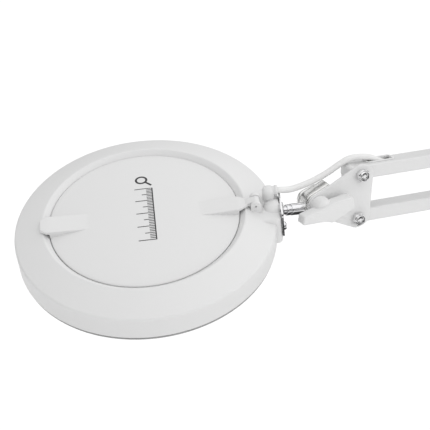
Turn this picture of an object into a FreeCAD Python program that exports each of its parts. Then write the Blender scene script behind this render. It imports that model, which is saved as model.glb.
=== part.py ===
import FreeCAD, Part
import math
import os

# Magnifying lamp: a ring-light head on a stem with a ball joint, a tilting knuckle,
# two parallelogram arms and a table clamp.
# Millimetres, +Z up. The arms move in the XZ plane, the head is at -X, and the origin
# is the middle of the clamp's upper face, where it rests on the table top.

V = FreeCAD.Vector
X_AXIS = V(1, 0, 0)
Y_AXIS = V(0, 1, 0)
Z_AXIS = V(0, 0, 1)

# --- arms -----------------------------------------------------------------
ARM_LENGTH = 400.0          # pivot to pivot, both arms
BAR_WIDE = 15.6             # tube, along Y
BAR_HIGH = 12.1             # tube, across the arm
BAR_WALL = 1.4
BAR_END = 8.0               # tube past each pivot
CAP_OUT = 1.8               # end cap past the tube
SLOT_FROM = 11.5            # lead slot, past the pivot
SLOT_LONG = 25.5
SLOT_Y = 2.0
SLOT_HALF = 4.2
RIM_HIGH = 1.0              # moulded rim round a lead slot
BOLT_R = 3.0                # M6
BOLT_HOLE_R = 3.06          # running fit on the bolt
OPEN_HOLE_R = 3.5           # the pivot at which each linkage is opened
SIDE_GAP = 0.4              # bar to plate
PLATE = 2.5
LOWER_ANGLE = 70.0          # lower arm above the horizontal
UPPER_ANGLE = -1.9          # upper arm, head end towards elbow

# --- brackets ---------------------------------------------------------------
BASE_SPREAD = 40.0          # base and elbow pivots of the lower arm
BASE_PIVOT_Z = 95.0
HEAD_PIVOTS = V(-2.95, 0, -40.1)    # from the upper pivot to the lower one
ELBOW_RISE = 37.0           # lower arm's pivots up to the upper arm's lower pivot
LOBE = 9.0                  # plate round a bolt
ELBOW_LOBE = 10.5
NUT_AF = 10.0
NUT_HIGH = 4.6
PLATE_IN = BAR_WIDE / 2 + SIDE_GAP          # inner face of a bracket plate
PLATE_OUT = PLATE_IN + PLATE

# --- knuckle and stem --------------------------------------------------------
KNUCKLE_FROM_PIVOT = V(-41.8, 0, -21.0)     # from the upper head pivot
NOSE_R = 9.8
STEM_DROP = 5.3             # stem axis below the knuckle's pivot
STEM_TILT = 4.8             # stem rises towards the head
STEM_R = 5.0
STEM_REACH = 37.9           # knuckle axis to the ball's centre
BALL_R = 9.0
NECK_R = 3.5
NECK_FROM = 11.2            # from the ball's centre
COLLAR_LONG = 4.5

# --- head, in its own frame: x towards the arm, z out of the top ----------------
HEAD_YAW = -23.95
HEAD_PITCH = 5.78
HEAD_ROLL = 19.35
HEAD_R = 112.0
FOOT_R = 111.0
DRUM = 25.2                 # side wall, shoulder to foot
LIP_R = 85.6
LIP_Z = 10.8
RECESS_R = 81.6
COVER_R = 80.9
COVER_Z = 8.0
COVER_RISE = 7.0
FLOOR_Z = 5.0
LENS_R = 66.2
LENS_Z = -5.0
WALL = 2.0
BALL_AT = V(110.2, 0, -1.0)
PLATE_X = 115.4
HINGE_AT = V(95.0, 0, 13.0)
LEAD_R = 2.75
RELIEF_AT = V(114.0, 10.0, 14.2)
SOCKET_R = 11.5
HOOD_WALL = 1.5
EYE_HALF = 3.4              # cover's hinge eye, along the pin
PIN_R = 1.3
TONGUE_Z = 14.4
PLATE_THICK = 1.6
PLATE_HOLE_R = 8.2
PLATE_SCREW_Y = 12.5
PLATE_SCREW_Z = -7.0
PLATE_SCREW_R = 1.6

# --- the lead's routes, by hand ----------------------------------------------
# from the knuckle's axis, and from the elbow's upper pivot
HEAD_LEAD_ROUTE = ((-21.5, 5.0, 12.8), (-9.0, 4.6, 14.2), (4.0, 4.2, 17.4), (16.0, 3.8, 21.9),
                   (27.0, 3.3, 27.8), (36.5, 2.8, 32.2))
ELBOW_LEAD_ROUTE = ((7.0, 2.0, 13.0), (20.0, 2.0, 8.0), (31.0, 2.0, -3.0), (39.0, 2.0, -19.0),
                    (43.0, 2.0, -37.0), (42.5, 2.0, -56.0), (38.0, 2.0, -73.0))
# where it dives into a tube: past the pivot, and above the tube's middle
DIVE = ((5.2, 11.2), (15.5, 9.4), (27.0, 3.4), (40.0, 0.0), (56.0, 0.0))

# --- clamp --------------------------------------------------------------------
POST_R = 6.0
POST_BORE_R = 6.06
JAW_WIDE = 44.0
JAW_GAP = 55.0
PAD = 2.0
JAW_THICK = 9.0
BOSS_TOP = 44.0
SPINE_X = 30.0
SCREW_X = -12.0
SCREW_R = 5.0

SOLIDS = {}


def keep(node, *solids):
    """Add closed solids to a node; every node is written to its own file."""
    SOLIDS.setdefault(node, []).extend(solids)


def box(low, high):
    """Axis-aligned box between two corners."""
    size = high - low
    return Part.makeBox(size.x, size.y, size.z, low)


def rod(radius, start, end):
    """Cylinder from start to end."""
    return Part.makeCylinder(radius, (end - start).Length, start, end - start)


def across(radius, centre, y_low, y_high):
    """Cylinder along Y through centre."""
    return Part.makeCylinder(radius, y_high - y_low, V(centre.x, y_low, centre.z), Y_AXIS)


def hex_prism(flats, centre, y_low, y_high):
    """Hexagon along Y, a flat facing up."""
    corner = flats / 2 / math.cos(math.radians(30))
    points = []
    for k in range(7):
        turn = math.radians(60 * k)
        points.append(V(centre.x + corner * math.cos(turn), y_low, centre.z + corner * math.sin(turn)))
    return Part.Face(Part.makePolygon(points)).extrude(V(0, y_high - y_low, 0))


def revolved(points):
    """Full turn about Z of a closed outline of (r, z) points."""
    outline = [V(r, 0, z) for r, z in points]
    face = Part.Face(Part.makePolygon(outline + outline[:1]))
    return face.revolve(V(0, 0, 0), Z_AXIS, 360)


def hull_outline(circles):
    """Counter-clockwise outline round (x, z, r) circles listed counter-clockwise."""
    count = len(circles)
    joins = []
    for k in range(count):
        ax, az, ar = circles[k]
        bx, bz, br = circles[(k + 1) % count]
        span = math.hypot(bx - ax, bz - az)
        heading = math.atan2(bz - az, bx - ax)
        lean = math.acos((ar - br) / span)
        out = heading - lean
        joins.append(((ax + ar * math.cos(out), az + ar * math.sin(out)),
                      (bx + br * math.cos(out), bz + br * math.sin(out)), out))
    edges = []
    for k in range(count):
        start, end, out = joins[k]
        edges.append(Part.LineSegment(V(start[0], 0, start[1]), V(end[0], 0, end[1])).toShape())
        bx, bz, br = circles[(k + 1) % count]
        next_start, _, next_out = joins[(k + 1) % count]
        sweep = (next_out - out) % (2 * math.pi)
        if sweep > 1e-6:
            middle = out + sweep / 2
            arc = Part.Arc(V(end[0], 0, end[1]),
                           V(bx + br * math.cos(middle), 0, bz + br * math.sin(middle)),
                           V(next_start[0], 0, next_start[1]))
            edges.append(arc.toShape())
    return Part.Wire(edges)


def plate(circles, y_low, y_high, holes=()):
    """Flat plate with a rounded outline and round holes (centre, radius)."""
    face = Part.Face(hull_outline(circles))
    face.translate(V(0, y_low, 0))
    solid = face.extrude(V(0, y_high - y_low, 0))
    for centre, radius in holes:
        solid = solid.cut(across(radius, centre, y_low - 1, y_high + 1))
    return solid


def turned(shape, centre, angle):
    """Copy turned about Y at centre, so that +X rises by angle degrees."""
    copy = shape.copy()
    copy.rotate(centre, Y_AXIS, -angle)
    return copy


def direction(angle):
    return V(math.cos(math.radians(angle)), 0, math.sin(math.radians(angle)))


# --- places ---------------------------------------------------------------------
BASE_A = V(-BASE_SPREAD / 2, 0, BASE_PIVOT_Z)
BASE_B = V(BASE_SPREAD / 2, 0, BASE_PIVOT_Z)
ELBOW_A = BASE_A + direction(LOWER_ANGLE) * ARM_LENGTH
ELBOW_B = BASE_B + direction(LOWER_ANGLE) * ARM_LENGTH
ELBOW_LOW = (ELBOW_A + ELBOW_B) * 0.5 + V(0, 0, ELBOW_RISE)
ELBOW_TOP = ELBOW_LOW - HEAD_PIVOTS
HEAD_TOP = ELBOW_TOP - direction(UPPER_ANGLE) * ARM_LENGTH
HEAD_LOW = HEAD_TOP + HEAD_PIVOTS
KNUCKLE = HEAD_TOP + KNUCKLE_FROM_PIVOT
STEM_FOOT = KNUCKLE - V(0, 0, STEM_DROP)
STEM_WAY = V(-math.cos(math.radians(STEM_TILT)), 0, math.sin(math.radians(STEM_TILT)))
BALL = STEM_FOOT + STEM_WAY * STEM_REACH

HEAD_TURN = (FreeCAD.Rotation(Z_AXIS, HEAD_YAW)
             .multiply(FreeCAD.Rotation(Y_AXIS, -HEAD_PITCH))
             .multiply(FreeCAD.Rotation(X_AXIS, HEAD_ROLL)))
HEAD_ORIGIN = BALL - HEAD_TURN.multVec(BALL_AT)
HEAD = FreeCAD.Placement(HEAD_ORIGIN, HEAD_TURN)


def on_head(shape):
    """Copy moved from the head's own frame to its place."""
    copy = shape.copy()
    copy.Placement = HEAD.multiply(copy.Placement)
    return copy


# --- arms ---------------------------------------------------------------------------
def bar_tube(start, angle, near_hole_r, far_hole_r, slots=()):
    """Rectangular tube between two pivots, with bolt holes at both."""
    length = ARM_LENGTH
    tube = box(V(-BAR_END, -BAR_WIDE / 2, -BAR_HIGH / 2), V(length + BAR_END, BAR_WIDE / 2, BAR_HIGH / 2))
    edges = [e for e in tube.Edges if abs(e.Length - length - 2 * BAR_END) < 0.01]
    tube = tube.makeFillet(1.2, edges)
    hollow_y = BAR_WIDE / 2 - BAR_WALL
    hollow_z = BAR_HIGH / 2 - BAR_WALL
    tube = tube.cut(box(V(-BAR_END - 1, -hollow_y, -hollow_z), V(length + BAR_END + 1, hollow_y, hollow_z)))
    tube = tube.cut(across(near_hole_r, V(0, 0, 0), -20, 20))
    tube = tube.cut(across(far_hole_r, V(length, 0, 0), -20, 20))
    for slot in slots:
        tube = tube.cut(slot)
    tube.translate(start)
    return turned(tube, start, angle)


def bar_cap(start, angle, at_far_end, hole_r):
    """Moulded cap: a rounded nose over the tube's end and a plug inside it."""
    hollow_y = BAR_WIDE / 2 - BAR_WALL - 0.02
    hollow_z = BAR_HIGH / 2 - BAR_WALL - 0.02
    nose = box(V(-BAR_END - CAP_OUT, -BAR_WIDE / 2, -BAR_HIGH / 2), V(-BAR_END, BAR_WIDE / 2, BAR_HIGH / 2))
    rim = [e for e in nose.Edges if e.BoundBox.XMax < -BAR_END - CAP_OUT + 0.01]
    nose = nose.makeFillet(1.5, rim)
    plug = box(V(-BAR_END, -hollow_y, -hollow_z), V(6, hollow_y, hollow_z))
    cap = nose.fuse(plug).removeSplitter()
    cap = cap.cut(across(hole_r, V(0, 0, 0), -20, 20))
    if at_far_end:
        cap.rotate(V(0, 0, 0), Z_AXIS, 180)
        cap.translate(V(ARM_LENGTH, 0, 0))
    cap.translate(start)
    return turned(cap, start, angle)


def coil_spring(start, angle, low, turns):
    """Tension spring lying inside a tube."""
    pitch = 5.0
    helix = Part.makeHelix(pitch, pitch * turns, 3.4)
    profile = Part.Wire(Part.Circle(V(3.4, 0, 0), Y_AXIS, 0.7).toShape())
    spring = Part.Wire(helix).makePipeShell([profile], True, True)
    spring.rotate(V(0, 0, 0), Y_AXIS, 90)
    spring.translate(V(low, 0, 0))
    spring.translate(start)
    return turned(spring, start, angle)


def lead_slot(low, side):
    """Opening in one face of a tube, for the lead; side is +1 or -1 across the arm."""
    near = min(0, side * BAR_HIGH)
    return box(V(low, SLOT_Y - SLOT_HALF, near), V(low + SLOT_LONG, SLOT_Y + SLOT_HALF, near + BAR_HIGH))


def lead_grommet(low, side):
    """Moulded rim that lines a lead slot."""
    face = BAR_HIGH / 2
    half = SLOT_HALF + 1.2
    rim = box(V(low - 1.6, SLOT_Y - half, face), V(low + SLOT_LONG + 1.6, SLOT_Y + half, face + RIM_HIGH))
    rim = rim.makeFillet(3.5, [e for e in rim.Edges if abs(e.BoundBox.ZLength - RIM_HIGH) < 0.01])
    fit = 0.02
    sleeve = box(V(low + fit, SLOT_Y - SLOT_HALF + fit, face - BAR_WALL),
                 V(low + SLOT_LONG - fit, SLOT_Y + SLOT_HALF - fit, face + 0.2))
    wall = 0.7
    opening = box(V(low + wall, SLOT_Y - SLOT_HALF + wall, 0),
                  V(low + SLOT_LONG - wall, SLOT_Y + SLOT_HALF - wall, BAR_HIGH))
    grommet = rim.fuse(sleeve).cut(opening).removeSplitter()
    if side < 0:
        grommet = grommet.mirror(V(0, 0, 0), Z_AXIS)
    return grommet


def arms():
    far_slot = ARM_LENGTH - SLOT_FROM - SLOT_LONG
    slots = (SLOT_FROM, far_slot)
    top_slots = [lead_slot(low, 1) for low in slots]
    rear_slots = [lead_slot(low, -1) for low in slots]
    running = BOLT_HOLE_R
    bars = (("upper_top_bar", HEAD_TOP, UPPER_ANGLE, running, running, top_slots),
            ("upper_bottom_bar", HEAD_LOW, UPPER_ANGLE, OPEN_HOLE_R, running, ()),
            ("lower_front_bar", BASE_A, LOWER_ANGLE, running, OPEN_HOLE_R, ()),
            ("lower_rear_bar", BASE_B, LOWER_ANGLE, running, running, rear_slots))
    for node, start, angle, near_r, far_r, openings in bars:
        keep(node, bar_tube(start, angle, near_r, far_r, openings))
        keep(node + "_caps", bar_cap(start, angle, False, near_r), bar_cap(start, angle, True, far_r))
    for node, start, angle, side in (("top_bar_grommets", HEAD_TOP, UPPER_ANGLE, 1),
                                     ("rear_bar_grommets", BASE_B, LOWER_ANGLE, -1)):
        for low in slots:
            grommet = lead_grommet(low, side)
            grommet.translate(start)
            keep(node, turned(grommet, start, angle))
    keep("upper_arm_spring", coil_spring(HEAD_LOW, UPPER_ANGLE, 250.0, 24))
    keep("lower_arm_spring", coil_spring(BASE_A, LOWER_ANGLE, 40.0, 30))


def bolt(centre, head_y, tip_y, nut_y, collar=True):
    """Hexagon bolt along Y with its head at the back, and a lock nut at the front."""
    body = across(BOLT_R, centre, tip_y, head_y).fuse(hex_prism(NUT_AF, centre, head_y, head_y + 4.0))
    nut = hex_prism(NUT_AF, centre, nut_y - NUT_HIGH, nut_y)
    if collar:
        nut = nut.fuse(across(4.3, centre, nut_y - NUT_HIGH - 2.0, nut_y - NUT_HIGH))
    nut = nut.cut(across(BOLT_R, centre, nut_y - 12, nut_y + 1))
    return body.removeSplitter(), nut.removeSplitter()


def pivot_bolts(bolts_node, nuts_node, centres, back_y):
    for centre in centres:
        body, nut = bolt(centre, back_y, -PLATE_OUT - NUT_HIGH - 1.2, -PLATE_OUT)
        keep(bolts_node, body)
        keep(nuts_node, nut)


# --- brackets ------------------------------------------------------------------------
def flat(point, radius):
    return (point.x, point.z, radius)


def head_bracket():
    corner_top = HEAD_TOP + V(3.2, 0, -1.0)
    corner_low = HEAD_LOW + V(3.4, 0, 1.0)
    outline = [flat(KNUCKLE, NOSE_R), flat(HEAD_LOW, LOBE), flat(corner_low, LOBE),
               flat(corner_top, LOBE), flat(HEAD_TOP, LOBE)]
    holes = [(KNUCKLE, BOLT_R), (HEAD_TOP, BOLT_R), (HEAD_LOW, BOLT_R)]
    keep("head_bracket_plate", plate(outline, -PLATE_OUT, -PLATE_IN, holes))
    strap = [flat(HEAD_LOW, 7.0), flat(HEAD_TOP, 7.0)]
    keep("head_bracket_strap", plate(strap, PLATE_IN, PLATE_OUT, holes[1:]))
    pivot_bolts("head_pivot_bolts", "head_lock_nuts", (HEAD_TOP, HEAD_LOW), PLATE_OUT)


def elbow_bracket():
    hull = [flat(ELBOW_A, ELBOW_LOBE), flat(ELBOW_B, ELBOW_LOBE), flat(ELBOW_TOP, ELBOW_LOBE)]
    centres = (ELBOW_A, ELBOW_B, ELBOW_LOW, ELBOW_TOP)
    holes = [(centre, BOLT_R) for centre in centres]
    keep("elbow_front_plate", plate(hull, -PLATE_OUT, -PLATE_IN, holes))
    keep("elbow_back_plate", plate(hull, PLATE_IN, PLATE_OUT, holes))
    pivot_bolts("elbow_bolts", "elbow_lock_nuts", centres, PLATE_OUT)
    middle = (ELBOW_A + ELBOW_B) * 0.5 + V(0, 0, 8)
    keep("elbow_spacer", across(5.0, middle, -PLATE_IN, PLATE_IN))


def base_bracket():
    foot_a = V(-13.0, 0, 60.0)
    foot_b = V(13.0, 0, 60.0)
    outline = [flat(foot_a, 8.0), flat(foot_b, 8.0), flat(BASE_B, 10.0), flat(BASE_A, 10.0)]
    screw_at = (V(-13.0, 0, 60.0), V(13.0, 0, 60.0))
    holes = [(BASE_A, BOLT_R), (BASE_B, BOLT_R), (screw_at[0], 2.5), (screw_at[1], 2.5)]
    keep("base_front_plate", plate(outline, -PLATE_OUT, -PLATE_IN, holes))
    keep("base_back_plate", plate(outline, PLATE_IN, PLATE_OUT, holes))
    pivot_bolts("base_bolts", "base_lock_nuts", (BASE_A, BASE_B), PLATE_OUT)
    block = box(V(-21, -PLATE_IN, 47.0), V(21, PLATE_IN, 69.0))
    block = block.makeFillet(3.0, [e for e in block.Edges if abs(e.BoundBox.YLength - 2 * PLATE_IN) < 0.01])
    block = block.cut(rod(POST_R, V(0, 0, 40), V(0, 0, 64)))
    for centre in screw_at:
        block = block.cut(across(2.5, centre, -PLATE_IN - 1, PLATE_IN + 1))
    keep("base_block", block)
    for centre in screw_at:
        screw = across(2.5, centre, -PLATE_OUT, PLATE_OUT)
        for side in (-1, 1):
            low = min(side * PLATE_OUT, side * (PLATE_OUT + 2.6))
            screw = screw.fuse(across(4.6, centre, low, low + 2.6))
        keep("base_block_screws", screw.removeSplitter())
    keep("base_post", rod(POST_R, V(0, 0, 9.5), V(0, 0, 64)))


# --- clamp ---------------------------------------------------------------------------------
def clamp():
    half = JAW_WIDE / 2
    reach = -34.0
    low = -JAW_GAP - JAW_THICK
    top = box(V(reach, -half, PAD), V(SPINE_X + 9, half, PAD + JAW_THICK))
    spine = box(V(SPINE_X, -half, low), V(SPINE_X + 9, half, PAD + JAW_THICK))
    bottom = box(V(SCREW_X - 16, -half, low), V(SPINE_X + 9, half, -JAW_GAP))
    boss = rod(15.0, V(0, 0, PAD), V(0, 0, BOSS_TOP))
    frame = top.fuse([spine, bottom]).removeSplitter()
    edges = [e for e in frame.Edges
             if e.BoundBox.YLength < 0.01 and e.BoundBox.XLength + e.BoundBox.ZLength > 20]
    frame = frame.makeFillet(2.5, edges)
    frame = frame.fuse(boss)
    frame = frame.cut(rod(POST_BORE_R, V(0, 0, PAD + 6), V(0, 0, BOSS_TOP + 1)))
    frame = frame.cut(rod(SCREW_R + 0.06, V(SCREW_X, 0, low - 1), V(SCREW_X, 0, -JAW_GAP + 1)))
    frame = frame.cut(rod(3.06, V(0, 0, 32), V(0, -20, 32)))
    keep("clamp_frame", frame.removeSplitter())
    keep("jaw_pad", box(V(reach, -half + 2, 0), V(SPINE_X - 3, half - 2, PAD)))
    foot_z = -JAW_GAP + 6.0
    foot = rod(14.0, V(SCREW_X, 0, foot_z), V(SCREW_X, 0, foot_z + 4.0))
    neck = rod(8.0, V(SCREW_X, 0, foot_z - 4.0), V(SCREW_X, 0, foot_z))
    foot = foot.fuse(neck).cut(rod(SCREW_R, V(SCREW_X, 0, foot_z - 5.0), V(SCREW_X, 0, foot_z + 1.0)))
    keep("clamp_foot", foot.removeSplitter())
    keep("clamp_foot_pad", rod(14.0, V(SCREW_X, 0, foot_z + 4.0), V(SCREW_X, 0, foot_z + 6.0)))
    screw_low = low - 52.0
    keep("clamp_screw", rod(SCREW_R, V(SCREW_X, 0, screw_low), V(SCREW_X, 0, foot_z + 1.0))
         .cut(across(2.5, V(SCREW_X, 0, screw_low + 8), -12, 12)))
    bar = across(2.5, V(SCREW_X, 0, screw_low + 8), -26, 26)
    for side in (-1, 1):
        bar = bar.fuse(across(4.0, V(SCREW_X, 0, screw_low + 8), side * 28 - 3, side * 28 + 3))
    keep("clamp_handle", bar.removeSplitter())
    stud = rod(3.0, V(0, -6.3, 32), V(0, -24, 32))
    grip = rod(10.0, V(0, -24, 32), V(0, -34, 32))
    for k in range(8):
        turn = math.radians(45 * k)
        cut_at = V(11.5 * math.cos(turn), 0, 32 + 11.5 * math.sin(turn))
        grip = grip.cut(across(2.6, cut_at, -36, -22))
    keep("post_screw", stud.fuse(rod(5.5, V(0, -20, 32), V(0, -24, 32))).removeSplitter())
    keep("post_screw_grip", grip)


# --- knuckle and stem ------------------------------------------------------------------------
BLOCK_Y = 6.9               # half width of the knuckle block's main part
GROOVE = 0.9
BOLT_PAST_PLATE = 15.0      # knuckle bolt past the bracket plate, inside the knob
KNOB_DEEP = 17.0
HUB_R = 9.4
WING_FROM = 5.0             # wings start this far from the plate
WING_REACH = 21.5           # to the middle of a wing's rounded tip
WING_TIP_R = 5.4


def knuckle():
    """Metal block between the bracket plate and a clamp disc, carrying the stem."""
    here = KNUCKLE
    rise = 22.8
    up = V(-math.sin(math.radians(rise)), 0, math.cos(math.radians(rise)))
    along = direction(rise)
    top_start = here + up * NOSE_R
    top_end = here + up * NOSE_R + along * 18.0
    west = here + V(-NOSE_R, 0, 0)
    middle = here + V(-NOSE_R * math.cos(math.radians(34)), 0, NOSE_R * math.sin(math.radians(34)))
    bottom_z = here.z - STEM_DROP - 8.2
    corner = V(west.x, 0, bottom_z + 4)
    corner_low = V(west.x + 4, 0, bottom_z)
    corner_mid = V(west.x + 4 - 4 * math.cos(math.radians(45)), 0, bottom_z + 4 - 4 * math.sin(math.radians(45)))
    end_low = V(here.x + 12.5, 0, bottom_z)
    wire = Part.Wire([
        Part.Arc(top_start, middle, west).toShape(),
        Part.LineSegment(west, corner).toShape(),
        Part.Arc(corner, corner_mid, corner_low).toShape(),
        Part.LineSegment(corner_low, end_low).toShape(),
        Part.LineSegment(end_low, top_end).toShape(),
        Part.LineSegment(top_end, top_start).toShape()])
    front_y = -PLATE_IN + 0.3
    face = Part.Face(wire)
    face.translate(V(0, front_y, 0))
    block = face.extrude(V(0, 2 * BLOCK_Y, 0))
    stem_hole = rod(STEM_R, STEM_FOOT, STEM_FOOT + STEM_WAY * 30)
    hole = across(BOLT_HOLE_R, here, -20, 20)
    keep("knuckle_block", block.cut(hole).cut(stem_hole))
    back_y = front_y + 2 * BLOCK_Y
    disc_wire = plate([(here.x, here.z, NOSE_R), (end_low.x - 8, here.z + 4, 7.0)], back_y + GROOVE, back_y + 5.0,
                      [(here, BOLT_HOLE_R)])
    keep("knuckle_clamp_disc", disc_wire)
    keep("knuckle_washer", across(6.5, here, back_y, back_y + GROOVE)
         .cut(across(BOLT_HOLE_R, here, back_y - 1, back_y + 2)))
    neck_end = BALL - STEM_WAY * NECK_FROM
    collar_end = BALL - STEM_WAY * (NECK_FROM + COLLAR_LONG)
    shaft = rod(STEM_R, STEM_FOOT, collar_end)
    collar = rod(STEM_R - 0.35, collar_end, neck_end)
    neck = rod(NECK_R, neck_end, BALL)
    ball = Part.makeSphere(BALL_R, BALL)
    stem = shaft.fuse([collar, neck, ball]).cut(hole)
    keep("stem", stem.removeSplitter())
    bolt_back = back_y + 5.2
    carriage = across(BOLT_R, here, -PLATE_OUT - BOLT_PAST_PLATE, bolt_back)
    keep("knuckle_bolt", carriage.fuse(across(7.0, here, bolt_back, bolt_back + 3.0)).removeSplitter())


def wing_knob():
    """Moulded wing knob on the knuckle bolt: a round hub with two swept wings."""
    here = KNUCKLE
    inner = -PLATE_OUT - 0.4
    outer = inner - KNOB_DEEP
    knob = Part.makeCone(HUB_R, HUB_R - 1.4, KNOB_DEEP - 1.0, V(here.x, inner, here.z), V(0, -1, 0))
    hub = flat(here, HUB_R - 1.6)
    left = flat(here + V(-WING_REACH, 0, -4.6), WING_TIP_R)
    right = flat(here + V(WING_REACH, 0, 3.4), WING_TIP_R)
    for outline in ([left, hub], [hub, right]):
        knob = knob.fuse(plate(outline, outer, inner - WING_FROM))
    bore = across(BOLT_HOLE_R, here, -PLATE_OUT - BOLT_PAST_PLATE - 0.2, 0)
    keep("wing_knob", knob.cut(bore).removeSplitter())


# --- head ---------------------------------------------------------------------------------------
def housing():
    """Moulded ring: side wall, conical top, raised lip, cover recess and inner collar."""
    outline = [
        (FOOT_R, -DRUM + 3.2), (HEAD_R - 0.35, -2.6), (HEAD_R - 1.0, -0.9), (HEAD_R - 2.6, 0.75),
        (LIP_R + 2.6, LIP_Z - 0.75), (LIP_R + 1.2, LIP_Z - 0.05), (LIP_R, LIP_Z - 0.2),
        (RECESS_R, COVER_Z - 1.2), (RECESS_R, FLOOR_Z), (66.0, FLOOR_Z), (64.0, FLOOR_Z - 2.0),
        (64.0, LENS_Z + 2.1), (66.4, LENS_Z + 2.1), (66.4, -DRUM + 1.2), (68.6, -DRUM + 1.2),
        (68.6, FLOOR_Z - WALL), (RECESS_R + WALL, FLOOR_Z - WALL), (LIP_R + 1.0, LIP_Z - 2.6),
        (HEAD_R - 4.0, -1.2), (HEAD_R - WALL - 0.6, -3.2), (FOOT_R - WALL, -DRUM + 3.2)]
    shell = revolved(outline)
    boss = box(V(98.0, -19.0, -DRUM + 3.4), V(PLATE_X, 19.0, 5.6))
    upright = [e for e in boss.Edges if abs(e.BoundBox.ZLength - boss.BoundBox.ZLength) < 0.01
               and e.BoundBox.XMin > 110]
    boss = boss.makeFillet(5.0, upright)
    cone = [(0, 40), (0, LIP_Z), (LIP_R + 2.6, LIP_Z - 0.75), (HEAD_R - 2.6, 0.75 + 0.6), (HEAD_R + 14, 0.9)]
    above = revolved(cone + [(HEAD_R + 14, 40)])
    boss = boss.cut(above)
    socket = Part.makeSphere(SOCKET_R, BALL_AT)
    mouth = rod(SOCKET_R, BALL_AT, V(PLATE_X + 1, BALL_AT.y, BALL_AT.z))
    relief = box(V(100.5, 3.5, -1.0), V(RELIEF_AT.x - 1.0, 16.5, RELIEF_AT.z + 4.6))
    lump_edges = [e for e in relief.Edges if e.BoundBox.ZMin > 0]
    relief = relief.makeFillet(3.6, lump_edges)
    relief = relief.cut(rod(3.9, V(104.0, RELIEF_AT.y, RELIEF_AT.z), RELIEF_AT + V(2, 0, 0)))
    ears = []
    for side in (-1, 1):
        inner = side * (EYE_HALF + 0.3)
        outer = side * (EYE_HALF + 3.3)
        ear = rod(4.4, V(HINGE_AT.x, inner, HINGE_AT.z), V(HINGE_AT.x, outer, HINGE_AT.z))
        low = V(HINGE_AT.x - 2.0, min(inner, outer), FLOOR_Z)
        ears += [ear, box(low, V(HINGE_AT.x + 4.4, max(inner, outer), HINGE_AT.z))]
    hood = Part.makeSphere(SOCKET_R + HOOD_WALL, BALL_AT)
    hood = hood.common(box(BALL_AT + V(-20, -20, 0), V(PLATE_X, 20, 20)))
    solid = shell.fuse([boss, hood, relief] + ears)
    solid = solid.cut(socket).cut(mouth)
    solid = solid.cut(rod(PIN_R, HINGE_AT + V(0, -8, 0), HINGE_AT + V(0, 8, 0)))
    for side in (-1, 1):
        hole_at = V(PLATE_X + 1, side * PLATE_SCREW_Y, PLATE_SCREW_Z)
        solid = solid.cut(rod(PLATE_SCREW_R, hole_at, hole_at - V(9, 0, 0)))
    return solid.removeSplitter()


def ball_joint():
    """Nylon seat round the ball, its retaining plate and two screws."""
    seat = Part.makeSphere(SOCKET_R - 0.1, BALL_AT).cut(Part.makeSphere(BALL_R + 0.06, BALL_AT))
    seat = seat.cut(box(BALL_AT + V(4.5, -20, -20), BALL_AT + V(30, 20, 20)))
    keep("ball_seat", on_head(seat))
    retainer = box(V(PLATE_X, -16.5, -18.0), V(PLATE_X + PLATE_THICK, 16.5, 10.0))
    corners = [e for e in retainer.Edges if abs(e.BoundBox.XLength - PLATE_THICK) < 0.01]
    retainer = retainer.makeFillet(5.0, corners)
    retainer = retainer.cut(rod(PLATE_HOLE_R, V(PLATE_X - 1, 0, BALL_AT.z), V(PLATE_X + 5, 0, BALL_AT.z)))
    face_x = PLATE_X + PLATE_THICK
    for side in (-1, 1):
        at = V(face_x, side * PLATE_SCREW_Y, PLATE_SCREW_Z)
        retainer = retainer.cut(rod(PLATE_SCREW_R, at - V(3, 0, 0), at + V(1, 0, 0)))
        shank = rod(PLATE_SCREW_R, at - V(9, 0, 0), at + V(1, 0, 0))
        pan = rod(3.6, at, at + V(2.4, 0, 0))
        pan = pan.makeFillet(1.2, [e for e in pan.Edges if abs(e.BoundBox.XMin - face_x - 2.4) < 0.01
                                   and e.BoundBox.YLength > 5])
        keep("ball_plate_screws", on_head(pan.fuse(shank).removeSplitter()))
    keep("ball_plate", on_head(retainer))


def cover_dome(radius, rim_z, rise, base_z):
    """Solid under a shallow spherical dome."""
    sphere_r = (radius ** 2 + rise ** 2) / (2 * rise)
    dome = Part.makeSphere(sphere_r, V(0, 0, rim_z + rise - sphere_r))
    return dome.common(rod(radius, V(0, 0, base_z), V(0, 0, rim_z + rise + 1)))


def lens_cover():
    """Domed cover with a finger tab and, opposite, a tongue that ends in the hinge eye."""
    shell = cover_dome(COVER_R, COVER_Z, COVER_RISE, FLOOR_Z + 0.4)
    inner = cover_dome(COVER_R - 2.2, COVER_Z - 2.2, COVER_RISE, FLOOR_Z - 1)
    shell = shell.cut(inner)
    strips = []
    tongue = [V(46, -9, 8), V(80, -9, 8), V(89, -EYE_HALF, 8), V(89, EYE_HALF, 8), V(80, 9, 8), V(46, 9, 8)]
    tab = [V(-46, -10, 8), V(-46, 10, 8), V(-84, 10, 8), V(-89, 6, 8), V(-89, -6, 8), V(-84, -10, 8)]
    lip_clear = revolved([(COVER_R - 0.01, 0), (COVER_R + 20, 0), (COVER_R + 20, LIP_Z + 0.5),
                          (COVER_R - 0.01, LIP_Z + 0.5)])
    for outline in (tongue, tab):
        strip = Part.Face(Part.makePolygon(outline + outline[:1])).extrude(V(0, 0, TONGUE_Z - 8))
        rim = [e for e in strip.Edges if e.BoundBox.ZMin > TONGUE_Z - 0.01 and abs(e.CenterOfMass.x) > 50]
        strip = strip.makeFillet(0.8, rim)
        strips.append(strip.cut(inner).cut(lip_clear))
    eye = rod(3.6, HINGE_AT - V(0, EYE_HALF, 0), HINGE_AT + V(0, EYE_HALF, 0))
    neck = box(V(88.0, -EYE_HALF, LIP_Z + 0.6), V(HINGE_AT.x, EYE_HALF, TONGUE_Z))
    cover = shell.fuse(strips + [eye, neck])
    cover = cover.cut(rod(PIN_R + 0.05, HINGE_AT + V(0, -9, 0), HINGE_AT + V(0, 9, 0)))
    return cover.removeSplitter()


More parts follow.
